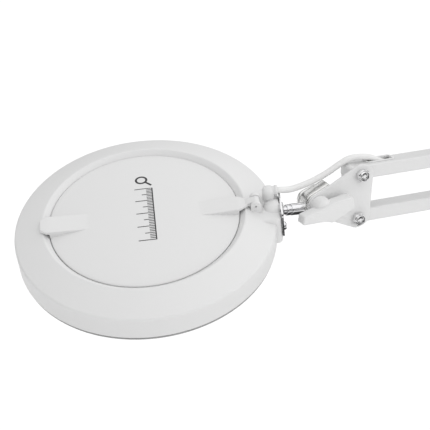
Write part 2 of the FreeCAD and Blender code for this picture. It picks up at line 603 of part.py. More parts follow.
def lens():
    """Biconvex lens with a cylindrical edge."""
    rim_z = 2.0
    clear_r = 63.8
    upper = cover_dome(clear_r, LENS_Z + rim_z, 7.0, LENS_Z)
    lower = upper.mirror(V(0, 0, LENS_Z), Z_AXIS)
    edge = rod(LENS_R, V(0, 0, LENS_Z - rim_z), V(0, 0, LENS_Z + rim_z))
    return edge.fuse([upper, lower]).removeSplitter()


def ring(inner_r, outer_r, low, high):
    return revolved([(inner_r, low), (outer_r, low), (outer_r, high), (inner_r, high)])


def head():
    keep("head_housing", on_head(housing()))
    ball_joint()
    keep("lens_cover", on_head(lens_cover()))
    pin_half = EYE_HALF + 3.3
    keep("cover_hinge_pin", on_head(rod(PIN_R, HINGE_AT - V(0, pin_half, 0), HINGE_AT + V(0, pin_half, 0))))
    keep("lens", on_head(lens()))
    retainer = ring(64.2, 66.3, -DRUM, LENS_Z - 2.0).fuse(ring(64.2, 72.0, -DRUM, -DRUM + 1.2))
    keep("lens_retainer", on_head(retainer.removeSplitter()))
    keep("diffuser_ring", on_head(ring(68.8, 97.8, -DRUM + 3.2, -DRUM + 5.0)))
    keep("bottom_bezel", on_head(ring(94.0, FOOT_R, -DRUM, -DRUM + 3.2)))
    board_z = -9.6
    keep("led_board", on_head(ring(71.0, 96.0, board_z, board_z + 1.6)))
    for row, (radius, count) in enumerate(((78.0, 30), (89.0, 30))):
        for k in range(count):
            turn = 360.0 / count * (k + row / 2)
            chip = box(V(radius - 1.75, -1.4, board_z - 0.9), V(radius + 1.75, 1.4, board_z))
            chip.rotate(V(0, 0, 0), Z_AXIS, turn)
            keep("led_chips", on_head(chip))
    keep("led_driver", on_head(box(V(-94, -13, board_z + 1.6), V(-78, 13, board_z + 8.0))))
    keep("strain_relief", on_head(strain_relief()))


def strain_relief():
    """Rubber sleeve round the lead where it leaves the head."""
    start = V(104.0, RELIEF_AT.y, RELIEF_AT.z)
    sleeve = rod(4.4, start + V(9.0, 0, 0), start + V(11.0, 0, 0)).fuse(rod(3.9, start, start + V(9.0, 0, 0)))
    sleeve = sleeve.cut(rod(LEAD_R + 0.02, start - V(1, 0, 0), start + V(14, 0, 0)))
    mouth = Part.makeCone(LEAD_R, LEAD_R + 1.1, 7.1, start + V(4.0, 0, 0), X_AXIS)
    return sleeve.cut(mouth).removeSplitter()


# --- leads -----------------------------------------------------------------------------------
def lead(points, radius=LEAD_R):
    """Round lead along straight runs joined by tangent arcs."""
    edges = []
    start = points[0]
    radii = []
    for k in range(1, len(points) - 1):
        before, here, after = points[k - 1], points[k], points[k + 1]
        way_in = (here - before).normalize()
        way_out = (after - here).normalize()
        turn = way_in.getAngle(way_out)
        short = min((here - before).Length, (after - here).Length)
        setback = 0.45 * short
        bend = setback / math.tan(turn / 2)
        radii.append(bend)
        arc_from = here - way_in * setback
        arc_to = here + way_out * setback
        inward = (way_out - way_in).normalize()
        middle = here + inward * (math.hypot(bend, setback) - bend)
        edges.append(Part.LineSegment(start, arc_from).toShape())
        edges.append(Part.Arc(arc_from, middle, arc_to).toShape())
        start = arc_to
    edges.append(Part.LineSegment(start, points[-1]).toShape())
    path = Part.Wire(edges)
    profile = Part.Wire(Part.Circle(points[0], points[1] - points[0], radius).toShape())
    tube = path.makePipeShell([profile], True, False)
    expected = math.pi * radius ** 2 * path.Length
    print(f"lead length {path.Length:.1f} volume ratio {tube.Volume / expected:.4f}",
          "radii", [round(r, 1) for r in radii])
    return tube


def on_bar(start, angle, x, y, z):
    """Point given in a bar's own directions, from its first pivot."""
    way = direction(angle)
    side = V(-way.z, 0, way.x)
    return start + way * x + V(0, y, 0) + side * z


def leads():
    relief_out = HEAD.multVec(RELIEF_AT)
    into_head = HEAD.multVec(RELIEF_AT - V(9.0, 0, 0))
    inner = DIVE[-1][0]
    route = [into_head, relief_out + (relief_out - into_head) * 0.25]
    route += [KNUCKLE + V(x, y, z) for x, y, z in HEAD_LEAD_ROUTE]
    route += [on_bar(HEAD_TOP, UPPER_ANGLE, x, SLOT_Y, z) for x, z in DIVE]
    keep("head_lead", lead(route))
    along = [on_bar(HEAD_TOP, UPPER_ANGLE, x, SLOT_Y, 0) for x in (inner, ARM_LENGTH - inner)]
    keep("upper_arm_lead", rod(LEAD_R, along[0], along[1]))
    down = [on_bar(BASE_B, LOWER_ANGLE, x, SLOT_Y, 0) for x in (inner, ARM_LENGTH - inner)]
    keep("lower_arm_lead", rod(LEAD_R, down[0], down[1]))
    route = [on_bar(HEAD_TOP, UPPER_ANGLE, ARM_LENGTH - x, SLOT_Y, z) for x, z in reversed(DIVE)]
    route += [ELBOW_TOP + V(x, y, z) for x, y, z in ELBOW_LEAD_ROUTE]
    route += [on_bar(BASE_B, LOWER_ANGLE, ARM_LENGTH - x, SLOT_Y, -z) for x, z in DIVE]
    keep("elbow_lead", lead(route))


def main():
    os.makedirs("parts", exist_ok=True)
    arms()
    head_bracket()
    elbow_bracket()
    base_bracket()
    clamp()
    knuckle()
    wing_knob()
    head()
    leads()
    for node, solids in SOLIDS.items():
        shape = solids[0] if len(solids) == 1 else Part.makeCompound(solids)
        volume = sum(s.Volume for s in solids)
        print(f"{node:24s} solids {len(solids)} valid {shape.isValid()} volume {volume:10.1f}")
        shape.exportStep(f"parts/{node}.step")


if __name__ == "__main__":
    main()
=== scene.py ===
"""Looks for a jointed magnifying lamp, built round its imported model.

Sizes are in millimetres in each sub-assembly's own frame and go to metres when a piece is placed.
"""

import logging
import math
from dataclasses import dataclass
from enum import Enum
from typing import Iterable, Optional, Sequence

import bmesh
import bpy
from mathutils import Matrix, Vector


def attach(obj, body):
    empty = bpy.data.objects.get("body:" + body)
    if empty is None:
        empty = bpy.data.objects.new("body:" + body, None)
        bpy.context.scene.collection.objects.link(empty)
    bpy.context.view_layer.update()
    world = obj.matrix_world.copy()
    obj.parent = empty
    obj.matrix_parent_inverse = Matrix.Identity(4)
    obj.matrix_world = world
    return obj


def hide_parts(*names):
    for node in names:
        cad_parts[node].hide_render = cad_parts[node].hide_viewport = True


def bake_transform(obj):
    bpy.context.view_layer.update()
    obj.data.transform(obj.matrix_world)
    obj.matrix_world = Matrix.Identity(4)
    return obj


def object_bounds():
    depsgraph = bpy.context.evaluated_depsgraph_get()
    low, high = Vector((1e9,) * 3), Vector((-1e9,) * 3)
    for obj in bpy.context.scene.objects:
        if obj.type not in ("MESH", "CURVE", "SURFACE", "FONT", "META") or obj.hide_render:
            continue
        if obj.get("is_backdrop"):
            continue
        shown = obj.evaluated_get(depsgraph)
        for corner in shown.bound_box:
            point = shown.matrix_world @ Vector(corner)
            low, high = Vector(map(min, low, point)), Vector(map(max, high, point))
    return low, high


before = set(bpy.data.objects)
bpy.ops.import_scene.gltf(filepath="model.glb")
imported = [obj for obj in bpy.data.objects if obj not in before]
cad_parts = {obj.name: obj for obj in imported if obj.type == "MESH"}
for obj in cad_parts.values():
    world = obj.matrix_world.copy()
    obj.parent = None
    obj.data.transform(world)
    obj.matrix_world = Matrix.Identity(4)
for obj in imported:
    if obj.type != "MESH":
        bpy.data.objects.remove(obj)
log = logging.getLogger("magnifying_lamp")

MM = 0.001
TO_METRES = Matrix.Scale(MM, 4)
FORWARD = Vector((0, -1, 0))
RIGHT = Vector((1, 0, 0))
BMesh = bmesh.types.BMesh
NodeTree = bpy.types.NodeTree
Socket = bpy.types.NodeSocket
Corner = tuple[float, float, float]


class Slot(Enum):
    """The record's material slots."""

    WHITE_PAINT = "white_paint"
    WHITE_MOULDING = "white_moulding"
    CHROME = "chrome"
    ZINC_STEEL = "zinc_steel"
    CAST_ZINC = "cast_zinc"
    LENS_GLASS = "lens_glass"
    DIFFUSER = "diffuser"
    CIRCUIT_BOARD = "circuit_board"
    LED = "led"
    BLACK_RUBBER = "black_rubber"
    LEAD_JACKET = "lead_jacket"
    NYLON = "nylon"
    SPRING_STEEL = "spring_steel"


class Mix(Enum):
    """How two solids are put together."""

    JOIN = "UNION"
    CUT = "DIFFERENCE"


# --- places, in millimetres -------------------------------------------------------------


def heading(angle: float) -> Vector:
    """Unit vector in the arms' plane, angle degrees above +X."""
    return Vector((math.cos(math.radians(angle)), 0.0, math.sin(math.radians(angle))))


@dataclass(frozen=True)
class Layout:
    """Where the lamp's axes lie, with the same driving dimensions as the solids."""

    arm_length: float = 400.0
    lower_angle: float = 70.0
    upper_angle: float = -1.9
    base_a: Vector = Vector((-20.0, 0.0, 95.0))
    base_b: Vector = Vector((20.0, 0.0, 95.0))
    head_pivots: Vector = Vector((-2.95, 0.0, -40.1))
    elbow_rise: float = 37.0
    knuckle_from_pivot: Vector = Vector((-41.8, 0.0, -21.0))
    stem_drop: float = 5.3
    stem_tilt: float = 4.8
    stem_reach: float = 37.9
    head_yaw: float = -23.95
    head_pitch: float = 5.78
    head_roll: float = 19.35
    ball_at: Vector = Vector((110.2, 0.0, -1.0))

    @property
    def elbow_a(self) -> Vector:
        """Front pivot of the elbow bracket."""
        return self.base_a + heading(self.lower_angle) * self.arm_length

    @property
    def elbow_b(self) -> Vector:
        """Rear pivot of the elbow bracket."""
        return self.base_b + heading(self.lower_angle) * self.arm_length

    @property
    def elbow_low(self) -> Vector:
        """Pivot of the upper arm's lower tube."""
        return (self.elbow_a + self.elbow_b) / 2 + Vector((0, 0, self.elbow_rise))

    @property
    def elbow_top(self) -> Vector:
        """Pivot of the upper arm's upper tube."""
        return self.elbow_low - self.head_pivots

    @property
    def head_top(self) -> Vector:
        """Upper pivot of the head bracket."""
        return self.elbow_top - heading(self.upper_angle) * self.arm_length

    @property
    def head_low(self) -> Vector:
        """Lower pivot of the head bracket."""
        return self.head_top + self.head_pivots

    @property
    def knuckle(self) -> Vector:
        """Middle of the knuckle's bolt."""
        return self.head_top + self.knuckle_from_pivot

    @property
    def stem_foot(self) -> Vector:
        """Where the stem's axis passes under the knuckle's bolt."""
        return self.knuckle - Vector((0, 0, self.stem_drop))

    @property
    def stem_way(self) -> Vector:
        """Direction of the stem, towards the head."""
        tilt = math.radians(self.stem_tilt)
        return Vector((-math.cos(tilt), 0.0, math.sin(tilt)))

    @property
    def ball(self) -> Vector:
        """Centre of the ball joint."""
        return self.stem_foot + self.stem_way * self.stem_reach

    @property
    def head_turn(self) -> Matrix:
        """How the head's own frame is turned."""
        yaw = Matrix.Rotation(math.radians(self.head_yaw), 3, "Z")
        pitch = Matrix.Rotation(math.radians(-self.head_pitch), 3, "Y")
        roll = Matrix.Rotation(math.radians(self.head_roll), 3, "X")
        return yaw @ pitch @ roll

    @property
    def head_origin(self) -> Vector:
        """Middle of the head's shoulder plane."""
        return self.ball - self.head_turn @ self.ball_at

    @property
    def head(self) -> Matrix:
        """From the head's own millimetres to the row frame in metres."""
        place = self.head_turn.to_4x4()
        place.translation = self.head_origin
        return TO_METRES @ place

    def at(self, point: Vector) -> Matrix:
        """From millimetres round a point, unturned, to the row frame in metres."""
        return TO_METRES @ Matrix.Translation(point)


LAYOUT = Layout()


# --- shader node groups -----------------------------------------------------------------


def new_group(name: str, inputs: Sequence[tuple[str, float]], outputs: Sequence[str]) -> NodeTree:
    """Starts a node group.

    Args:
        name: The group's name.
        inputs: Names and default values of its number inputs.
        outputs: Names of its number outputs.

    Returns:
        The group, with its input and output nodes in it.
    """
    group = bpy.data.node_groups.new(name, "ShaderNodeTree")
    for label, default in inputs:
        socket = group.interface.new_socket(label, in_out="INPUT", socket_type="NodeSocketFloat")
        socket.default_value = default
    for label in outputs:
        group.interface.new_socket(label, in_out="OUTPUT", socket_type="NodeSocketFloat")
    group.nodes.new("NodeGroupInput")
    group.nodes.new("NodeGroupOutput")
    return group


def feed(tree: NodeTree, socket: Socket, value: object) -> None:
    """Gives an input a value, or links it when the value is a socket.

    Args:
        tree: The node tree that it is in.
        socket: The input.
        value: A number, a colour or an output socket.
    """
    if isinstance(value, Socket):
        tree.links.new(value, socket)
    else:
        socket.default_value = value


def add(tree: NodeTree, kind: str, inputs: dict[object, object], **settings: object) -> bpy.types.Node:
    """Adds a node.

    Args:
        tree: The node tree it goes in.
        kind: The node's type.
        inputs: What its inputs are given, by name or number.
        settings: The node's own properties, which are set first.

    Returns:
        The node.
    """
    node = tree.nodes.new(kind)
    for label, value in settings.items():
        setattr(node, label, value)
    for label, value in inputs.items():
        feed(tree, node.inputs[label], value)
    return node


def maths(tree: NodeTree, operation: str, *values: object) -> Socket:
    """Adds a Math node.

    Args:
        tree: The node tree it goes in.
        operation: The node's operation.
        values: Its inputs, numbers or sockets.

    Returns:
        Its output socket.
    """
    return add(tree, "ShaderNodeMath", dict(enumerate(values)), operation=operation).outputs[0]


def coordinates(tree: NodeTree, kind: str = "Object") -> Socket:
    """Adds texture coordinates of one kind."""
    return tree.nodes.new("ShaderNodeTexCoord").outputs[kind]


def noise(tree: NodeTree, scale: object, detail: float, vector: Optional[Socket] = None) -> Socket:
    """Adds a Noise Texture.

    Args:
        tree: The node tree it goes in.
        scale: Its scale, a number or a socket.
        detail: Octaves of detail.
        vector: Coordinates to use in place of Object coordinates.

    Returns:
        Its factor output.
    """
    where = vector or coordinates(tree)
    return add(tree, "ShaderNodeTexNoise", {"Detail": detail, "Vector": where, "Scale": scale}).outputs["Fac"]


def grey_ramp(tree: NodeTree, factor: Socket, stops: Sequence[tuple[float, float]]) -> Socket:
    """Adds a Color Ramp of greys.

    Args:
        tree: The node tree it goes in.
        factor: What it is driven by.
        stops: Positions and greys, in order.

    Returns:
        Its colour output.
    """
    node = add(tree, "ShaderNodeValToRGB", {"Fac": factor})
    elements = node.color_ramp.elements
    ready = len(elements)
    for index, (at, grey) in enumerate(stops):
        stop = elements[index] if index < ready else elements.new(at)
        stop.position = at
        stop.color = (grey, grey, grey, 1)
    return node.outputs["Color"]


def surface_group() -> NodeTree:
    """The skin of a part: a fine grain, a broad waviness and the marks that hands leave.

    Returns:
        A group that puts out a height for bump, a smudge mask and a colour mask.
    """
    group = new_group("part_skin", (("Grain Scale", 2400.0), ("Grain", 0.5), ("Wave Scale", 160.0),
                                    ("Wave", 0.5), ("Smudge Scale", 22.0)), ("Height", "Smudge", "Tone"))
    given = group.nodes["Group Input"].outputs
    out = group.nodes["Group Output"].inputs
    grain = maths(group, "MULTIPLY", noise(group, given["Grain Scale"], 3.0), given["Grain"])
    wave = maths(group, "MULTIPLY", noise(group, given["Wave Scale"], 1.0), given["Wave"])
    group.links.new(maths(group, "ADD", grain, wave), out["Height"])
    broad = noise(group, given["Smudge Scale"], 4.0)
    smudge = maths(group, "SMOOTH_MIN", maths(group, "MULTIPLY", broad, broad), 0.5, 0.1)
    group.links.new(maths(group, "MULTIPLY", smudge, 2.0), out["Smudge"])
    group.links.new(noise(group, 6.0, 2.0), out["Tone"])
    return group


def scratch_group() -> NodeTree:
    """Fine crossing scratches for bare metal.

    Returns:
        A group that puts out one mask, bright on a scratch.
    """
    group = new_group("metal_scratches", (("Scale", 300.0), ("Width", 0.04)), ("Scratch",))
    given = group.nodes["Group Input"].outputs
    where = coordinates(group)
    drawn_out = (0.05, 1.0, 1.0)
    marks = []
    for turn in ((0.3, 0.2, 0.5), (1.3, 0.7, -0.4)):
        mapping = add(group, "ShaderNodeMapping", {"Rotation": turn, "Scale": drawn_out, "Vector": where})
        value = noise(group, given["Scale"], 2.0, mapping.outputs["Vector"])
        distance = maths(group, "ABSOLUTE", maths(group, "SUBTRACT", value, 0.5))
        marks.append(maths(group, "LESS_THAN", distance, maths(group, "MULTIPLY", given["Width"], 0.1)))
    group.links.new(maths(group, "MAXIMUM", *marks), group.nodes["Group Output"].inputs["Scratch"])
    return group


@dataclass(frozen=True)
class Finish:
    """One finish: a Principled shader whose colour, roughness and relief vary over the surface."""

    slot: Slot
    colour: tuple[float, float, float]
    second: tuple[float, float, float]
    roughness: float
    smudged: float
    metallic: float = 0.0
    grain_scale: float = 2400.0
    grain: float = 0.5
    wave_scale: float = 160.0
    wave: float = 0.2
    depth_mm: float = 0.05
    coat: float = 0.0
    coat_roughness: float = 0.12
    transmission: float = 0.0
    ior: float = 1.47
    specular: float = 0.5
    subsurface: float = 0.0
    subsurface_mm: float = 2.0
    scratches: float = 0.0
    ribs: bool = False
    rib_scale: float = 160.0
    rib_weight: float = 2.0

    def make(self, groups: dict[str, NodeTree]) -> bpy.types.Material:
        """Builds the material.

        Args:
            groups: The shared node groups by name.

        Returns:
            The finished material.
        """
        material = bpy.data.materials.new(self.slot.value + "_finish")
        material.use_nodes = True
        tree = material.node_tree
        shader = tree.nodes["Principled BSDF"]
        skin = add(tree, "ShaderNodeGroup", {
            "Grain Scale": self.grain_scale, "Grain": self.grain, "Wave Scale": self.wave_scale,
            "Wave": self.wave}, node_tree=groups["skin"]).outputs
        blend = add(tree, "ShaderNodeMix", {
            "A": (*self.colour, 1.0), "B": (*self.second, 1.0), "Factor": skin["Tone"]}, data_type="RGBA")
        rough = maths(tree, "MULTIPLY_ADD", skin["Smudge"], self.smudged, self.roughness)
        if self.scratches:
            marks = add(tree, "ShaderNodeGroup", {}, node_tree=groups["scratches"])
            rough = maths(tree, "MULTIPLY_ADD", marks.outputs["Scratch"], self.scratches, rough)
        height = skin["Height"]
        if self.ribs:
            height = maths(tree, "MULTIPLY_ADD", self.rib_height(tree), self.rib_weight, height)
        bump = add(tree, "ShaderNodeBump", {
            "Strength": 1.0, "Distance": self.depth_mm * MM, "Height": height})
        looks = {
            "Base Color": blend.outputs["Result"], "Roughness": rough, "Normal": bump.outputs["Normal"],
            "Metallic": self.metallic, "Coat Weight": self.coat, "Coat Roughness": self.coat_roughness,
            "Transmission Weight": self.transmission, "IOR": self.ior, "Specular IOR Level": self.specular,
            "Subsurface Weight": self.subsurface, "Subsurface Radius": (self.subsurface_mm * MM,) * 3}
        for label, value in looks.items():
            feed(tree, shader.inputs[label], value)
        return material

    def rib_height(self, tree: NodeTree) -> Socket:
        """Concentric ribs round the head's axis.

        Args:
            tree: The material's node tree.

        Returns:
            The ribs' height.
        """
        mapping = add(tree, "ShaderNodeMapping", {
            "Location": LAYOUT.head_origin * MM, "Rotation": LAYOUT.head_turn.to_euler(),
            "Vector": coordinates(tree)}, vector_type="TEXTURE")
        waves = add(tree, "ShaderNodeTexWave", {"Scale": self.rib_scale, "Vector": mapping.outputs["Vector"]},
                    wave_type="RINGS", rings_direction="Z")
        return waves.outputs["Fac"]


FINISHES = (
    Finish(Slot.WHITE_PAINT, (0.68, 0.68, 0.68), (0.66, 0.66, 0.66), 0.34, 0.06, wave=0.6, wave_scale=420.0,
           depth_mm=0.05, coat=0.15),
    Finish(Slot.WHITE_MOULDING, (0.7, 0.7, 0.7), (0.68, 0.68, 0.68), 0.42, 0.08, grain=0.6,
           depth_mm=0.03),
    Finish(Slot.CHROME, (0.86, 0.86, 0.87), (0.8, 0.8, 0.82), 0.06, 0.06, metallic=1.0, wave=0.3,
           depth_mm=0.008, scratches=0.08),
    Finish(Slot.ZINC_STEEL, (0.88, 0.88, 0.88), (0.8, 0.8, 0.81), 0.12, 0.1, metallic=1.0, wave=0.5,
           depth_mm=0.02, scratches=0.15),
    Finish(Slot.CAST_ZINC, (0.86, 0.86, 0.85), (0.74, 0.74, 0.73), 0.2, 0.14, metallic=1.0,
           grain_scale=1500.0, grain=0.9, wave_scale=300.0, wave=0.6, depth_mm=0.09, scratches=0.1),
    Finish(Slot.LENS_GLASS, (0.97, 0.99, 0.98), (0.96, 0.985, 0.975), 0.0, 0.02, wave=0.0, grain=0.0,
           depth_mm=0.001, transmission=1.0, ior=1.52),
    Finish(Slot.DIFFUSER, (0.86, 0.86, 0.85), (0.82, 0.82, 0.81), 0.45, 0.05, depth_mm=0.12,
           transmission=0.35, subsurface=0.3, ribs=True),
    Finish(Slot.CIRCUIT_BOARD, (0.66, 0.67, 0.65), (0.55, 0.6, 0.55), 0.4, 0.1, wave=0.8, depth_mm=0.03),
    Finish(Slot.LED, (0.83, 0.62, 0.16), (0.75, 0.68, 0.4), 0.3, 0.1, depth_mm=0.02, coat=0.5),
    Finish(Slot.BLACK_RUBBER, (0.028, 0.028, 0.03), (0.05, 0.05, 0.052), 0.62, 0.18, grain=1.0,
           grain_scale=1300.0, depth_mm=0.1),
    Finish(Slot.LEAD_JACKET, (0.75, 0.75, 0.745), (0.71, 0.71, 0.705), 0.38, 0.1, wave=0.5,
           wave_scale=240.0, depth_mm=0.04, subsurface=0.05),
    Finish(Slot.NYLON, (0.7, 0.7, 0.69), (0.67, 0.67, 0.66), 0.36, 0.08, subsurface=0.1),
    Finish(Slot.SPRING_STEEL, (0.5, 0.5, 0.51), (0.38, 0.38, 0.39), 0.26, 0.14, metallic=1.0, wave=0.4,
           depth_mm=0.02, scratches=0.2),
)


# Painted shade: a darker grey moulding for the foot bezel, drawing the shadow line along the head's bottom
# edge.
BEZEL_SHADE = Finish(Slot.WHITE_MOULDING, (0.4, 0.4, 0.4), (0.36, 0.36, 0.36), 0.45, 0.08, grain=0.6, depth_mm=0.03)


class Workshop:
    """Makes materials once and turns shapes into placed, dressed pieces."""

    def __init__(self) -> None:
        """Builds the shared node groups and every finish."""
        groups = {"skin": surface_group(), "scratches": scratch_group()}
        self.materials = {finish.slot: finish.make(groups) for finish in FINISHES}
        # Darker moulding whose grey is painted shade for the shadow line under the head's rim.
        self.trim = BEZEL_SHADE.make(groups)

    def piece(self, bm: BMesh, name: str, slot: Slot, body: Optional[str], place: Matrix = Matrix.Identity(4),
              stands_for: Iterable[str] = (), sharp: float = 32.0) -> bpy.types.Object:
        """Turns a shape into a piece.

        Args:
            bm: The shape, which is used up.
            name: The piece's name.
            slot: The finish's slot.
            body: The CAD body that it rides on, or None to leave it on no body.
            place: From the shape's frame to the row frame in metres.
            stands_for: CAD nodes that it replaces.
            sharp: Edges that turn by more degrees than this stay crisp.

        Returns:
            The piece's object.
        """
        bm.transform(place)
        bmesh.ops.recalc_face_normals(bm, faces=bm.faces)
        for edge in bm.edges:
            edge.smooth = len(edge.link_faces) == 2 and edge.calc_face_angle(0.0) < math.radians(sharp)
        for face in bm.faces:
            face.smooth = True
        mesh = bpy.data.meshes.new(name)
        bm.to_mesh(mesh)
        bm.free()
        piece = bpy.data.objects.new(name, mesh)
        bpy.context.scene.collection.objects.link(piece)
        mesh.materials.append(self.materials[slot])
        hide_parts(*stands_for)
        if body:
            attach(piece, body)
        log.info("%s: %d faces", name, len(mesh.polygons))
        return piece

    def dress_nodes(self) -> None:
        """Gives every CAD node that still shows the finish of its slot."""
        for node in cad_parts.values():
            for slot_index, holder in enumerate(node.material_slots):
                label = holder.material.name.split(".")[0] if holder.material else ""
                for slot, material in self.materials.items():
                    if slot.value == label:
                        node.material_slots[slot_index].material = material

    def soften(self, node: str, body: str, slot: Slot, width: float, segments: int = 2) -> None:
        """Replaces a CAD node by a copy whose crisp edges are rounded.

        Args:
            node: The CAD node.
            body: The body that it rides on.
            slot: The finish's slot.
            width: How far the rounding reaches, in millimetres.
            segments: Steps across the rounding.
        """
        bm = bmesh.new()
        bm.from_mesh(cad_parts[node].data)
        bmesh.ops.remove_doubles(bm, verts=bm.verts, dist=2e-6)
        bmesh.ops.dissolve_limit(bm, angle_limit=math.radians(0.8), verts=bm.verts, edges=bm.edges)
        bm.transform(Matrix.Scale(1 / MM, 4))
        round_edges(bm, width, segments)
        self.piece(bm, node + "_softened", slot, body, TO_METRES, (node,))


@dataclass
class Assembly:
    """A sub-assembly, with the workshop where its pieces are made."""

    shop: Workshop


# --- shapes -----------------------------------------------------------------------------


def bevel(bm: BMesh, geom: list, reach: float, segments: int, affect: str = "EDGES") -> None:
    """Rounds edges or corners.

    Args:
        bm: The shape.
        geom: The edges or vertices.
        reach: How far the rounding reaches.
        segments: Steps across it.
        affect: Whether edges or vertices are rounded.
    """
    bmesh.ops.bevel(bm, geom=geom, offset=reach, offset_type="OFFSET", affect=affect, segments=segments,
                    profile=0.5, material=-1, clamp_overlap=False)


def extrude(bm: BMesh, face: bmesh.types.BMFace, way: Corner) -> None:
    """Extrudes a mesh's only face into a solid.

    Args:
        bm: The mesh.
        face: Its face.
        way: How far and which way.
    """
    grown = bmesh.ops.extrude_face_region(bm, geom=[face])["geom"]
    moved = [element for element in grown if isinstance(element, bmesh.types.BMVert)]
    bmesh.ops.translate(bm, verts=moved, vec=way)
    bmesh.ops.recalc_face_normals(bm, faces=bm.faces)


def turn_about_z(bm: BMesh, steps: int) -> None:
    """Turns a mesh's outline once round Z into a solid.

    Args:
        bm: The mesh, which holds only edges.
        steps: Steps round the axis.
    """
    bmesh.ops.spin(bm, geom=bm.verts[:] + bm.edges[:], cent=(0, 0, 0), axis=(0, 0, 1), dvec=(0, 0, 0),
                   angle=2 * math.pi, steps=steps, use_merge=True)
    bmesh.ops.remove_doubles(bm, verts=bm.verts, dist=1e-4)
    bmesh.ops.recalc_face_normals(bm, faces=bm.faces)


def round_edges(bm: BMesh, width: float, segments: int = 2, angle: float = 28.0) -> None:
    """Rounds every edge that turns by more than an angle.

    Args:
        bm: The shape.
        width: How far the rounding reaches.
        segments: Steps across it.
        angle: Smallest turn to round, in degrees.
    """
    edges = [edge for edge in bm.edges
             if len(edge.link_faces) == 2 and edge.calc_face_angle(0.0) > math.radians(angle)]
    if edges and width > 0:
        bevel(bm, edges, width, segments)


def outline_face(bm: BMesh, corners: Sequence[Corner], segments: int = 6) -> bmesh.types.BMFace:
    """Makes a flat face in the XZ plane with rounded corners.

    Args:
        bm: The mesh it is made in.
        corners: Each corner's x, z and how far its rounding reaches along its sides.
        segments: Steps round each corner.

    Returns:
        The face.
    """
    verts = [bm.verts.new((x, 0.0, z)) for x, z, _ in corners]
    bm.faces.new(verts)
    for vert, (_, _, reach) in zip(verts, corners):
        if reach > 0:
            bevel(bm, [vert], reach, segments, "VERTICES")
    bm.faces.ensure_lookup_table()
    return bm.faces[0]


def prism(corners: Sequence[Corner], near: float, far: float, rounding: float = 0.0, segments: int = 2,
          corner_segments: int = 6) -> BMesh:
    """Extrudes an outline in the XZ plane along Y.

    Args:
        corners: The outline, as for outline_face.
        near: Lowest Y.
        far: Highest Y.
        rounding: Rounding of its edges.
        segments: Steps across the rounding.
        corner_segments: Steps round each corner.

    Returns:
        The solid.
    """
    bm = bmesh.new()
    face = outline_face(bm, corners, corner_segments)
    bmesh.ops.translate(bm, verts=bm.verts, vec=(0, near, 0))
    extrude(bm, face, (0, far - near, 0))
    round_edges(bm, rounding, segments)
    return bm


def lathe(corners: Sequence[Corner], steps: int = 64, segments: int = 5) -> BMesh:
    """Turns a closed outline of radius, height and rounding about Z.

    Args:
        corners: The outline, as for outline_face.
        steps: Steps round the axis.
        segments: Steps round each corner.

    Returns:
        The turned solid.
    """
    bm = bmesh.new()
    face = outline_face(bm, corners, segments)
    bmesh.ops.delete(bm, geom=[face], context="FACES_ONLY")
    on_axis = [edge for edge in bm.edges if all(abs(v.co.x) < 1e-6 for v in edge.verts)]
    bmesh.ops.delete(bm, geom=on_axis, context="EDGES")
    turn_about_z(bm, steps)
    return bm


def block(low: Corner, high: Corner, rounding: float = 0.0, segments: int = 3) -> BMesh:
    """Rounded box between two corners.

    Args:
        low: Lowest corner.
        high: Highest corner.
        rounding: Rounding of its edges.
        segments: Steps across the rounding.

    Returns:
        The solid.
    """
    bm = bmesh.new()
    low_v, high_v = Vector(low), Vector(high)
    place = Matrix.Translation((low_v + high_v) / 2) @ Matrix.Diagonal((*(high_v - low_v), 1))
    bmesh.ops.create_cube(bm, size=1.0, matrix=place)
    round_edges(bm, rounding, segments)
    return bm


def along(way: Vector, start: Vector) -> Matrix:
    """Turns +Z to a direction and moves the origin to a point."""
    place = way.to_track_quat("Z", "Y").to_matrix().to_4x4()
    place.translation = start
    return place


def rod(radius: float, start: Vector, end: Vector, rounding: float = 0.0, steps: int = 48) -> BMesh:
    """Round bar between two points.

    Args:
        radius: Its radius.
        start: Middle of one end.
        end: Middle of the other end.
        rounding: Rounding of both ends.
        steps: Steps round it.

    Returns:
        The solid.
    """
    length = (end - start).length
    bm = lathe([(0, 0, 0), (radius, 0, rounding), (radius, length, rounding), (0, length, 0)], steps, 3)
    bm.transform(along(end - start, start))
    return bm


def sphere(radius: float, centre: Vector, around: int = 48, rows: int = 32) -> BMesh:
    """Ball with its poles up and down.

    Args:
        radius: Its radius.
        centre: Its middle.
        around: Steps round it.
        rows: Steps from pole to pole.

    Returns:
        The solid.
    """
    bm = bmesh.new()
    bmesh.ops.create_uvsphere(bm, u_segments=around, v_segments=rows, radius=radius)
    bm.transform(Matrix.Translation(centre))
    return bm


def together(*parts: BMesh) -> BMesh:
    """Puts several separate solids in one mesh and frees them."""
    whole = bmesh.new()
    for part in parts:
        mesh = bpy.data.meshes.new("part")
        part.to_mesh(mesh)
        part.free()
        whole.from_mesh(mesh)
        bpy.data.meshes.remove(mesh)
    return whole


def combine(base: BMesh, other: BMesh, how: Mix) -> BMesh:
    """Joins a solid to another, or cuts it from the other.

    Args:
        base: The first solid, which is used up.
        other: The second solid, which is used up.
        how: Whether to join or cut.

    Returns:
        The resulting solid.
    """
    held = []
    for bm in (base, other):
        mesh = bpy.data.meshes.new("solid")
        bm.to_mesh(mesh)
        bm.free()
        solid = bpy.data.objects.new("solid", mesh)
        bpy.context.scene.collection.objects.link(solid)
        held.append(solid)
    change = held[0].modifiers.new("combine", "BOOLEAN")
    change.object = held[1]
    change.operation = how.value
    change.solver = "EXACT"
    bpy.context.view_layer.update()
    result = held[0].evaluated_get(bpy.context.evaluated_depsgraph_get())
    bm = bmesh.new()
    bm.from_mesh(result.to_mesh())
    result.to_mesh_clear()
    for solid in held:
        mesh = solid.data
        bpy.data.objects.remove(solid)
        bpy.data.meshes.remove(mesh)
    return bm


def fuse(*parts: BMesh) -> BMesh:
    """Joins overlapping solids into one, in order, and frees them."""
    whole = parts[0]
    for part in parts[1:]:
        whole = combine(whole, part, Mix.JOIN)
    return whole


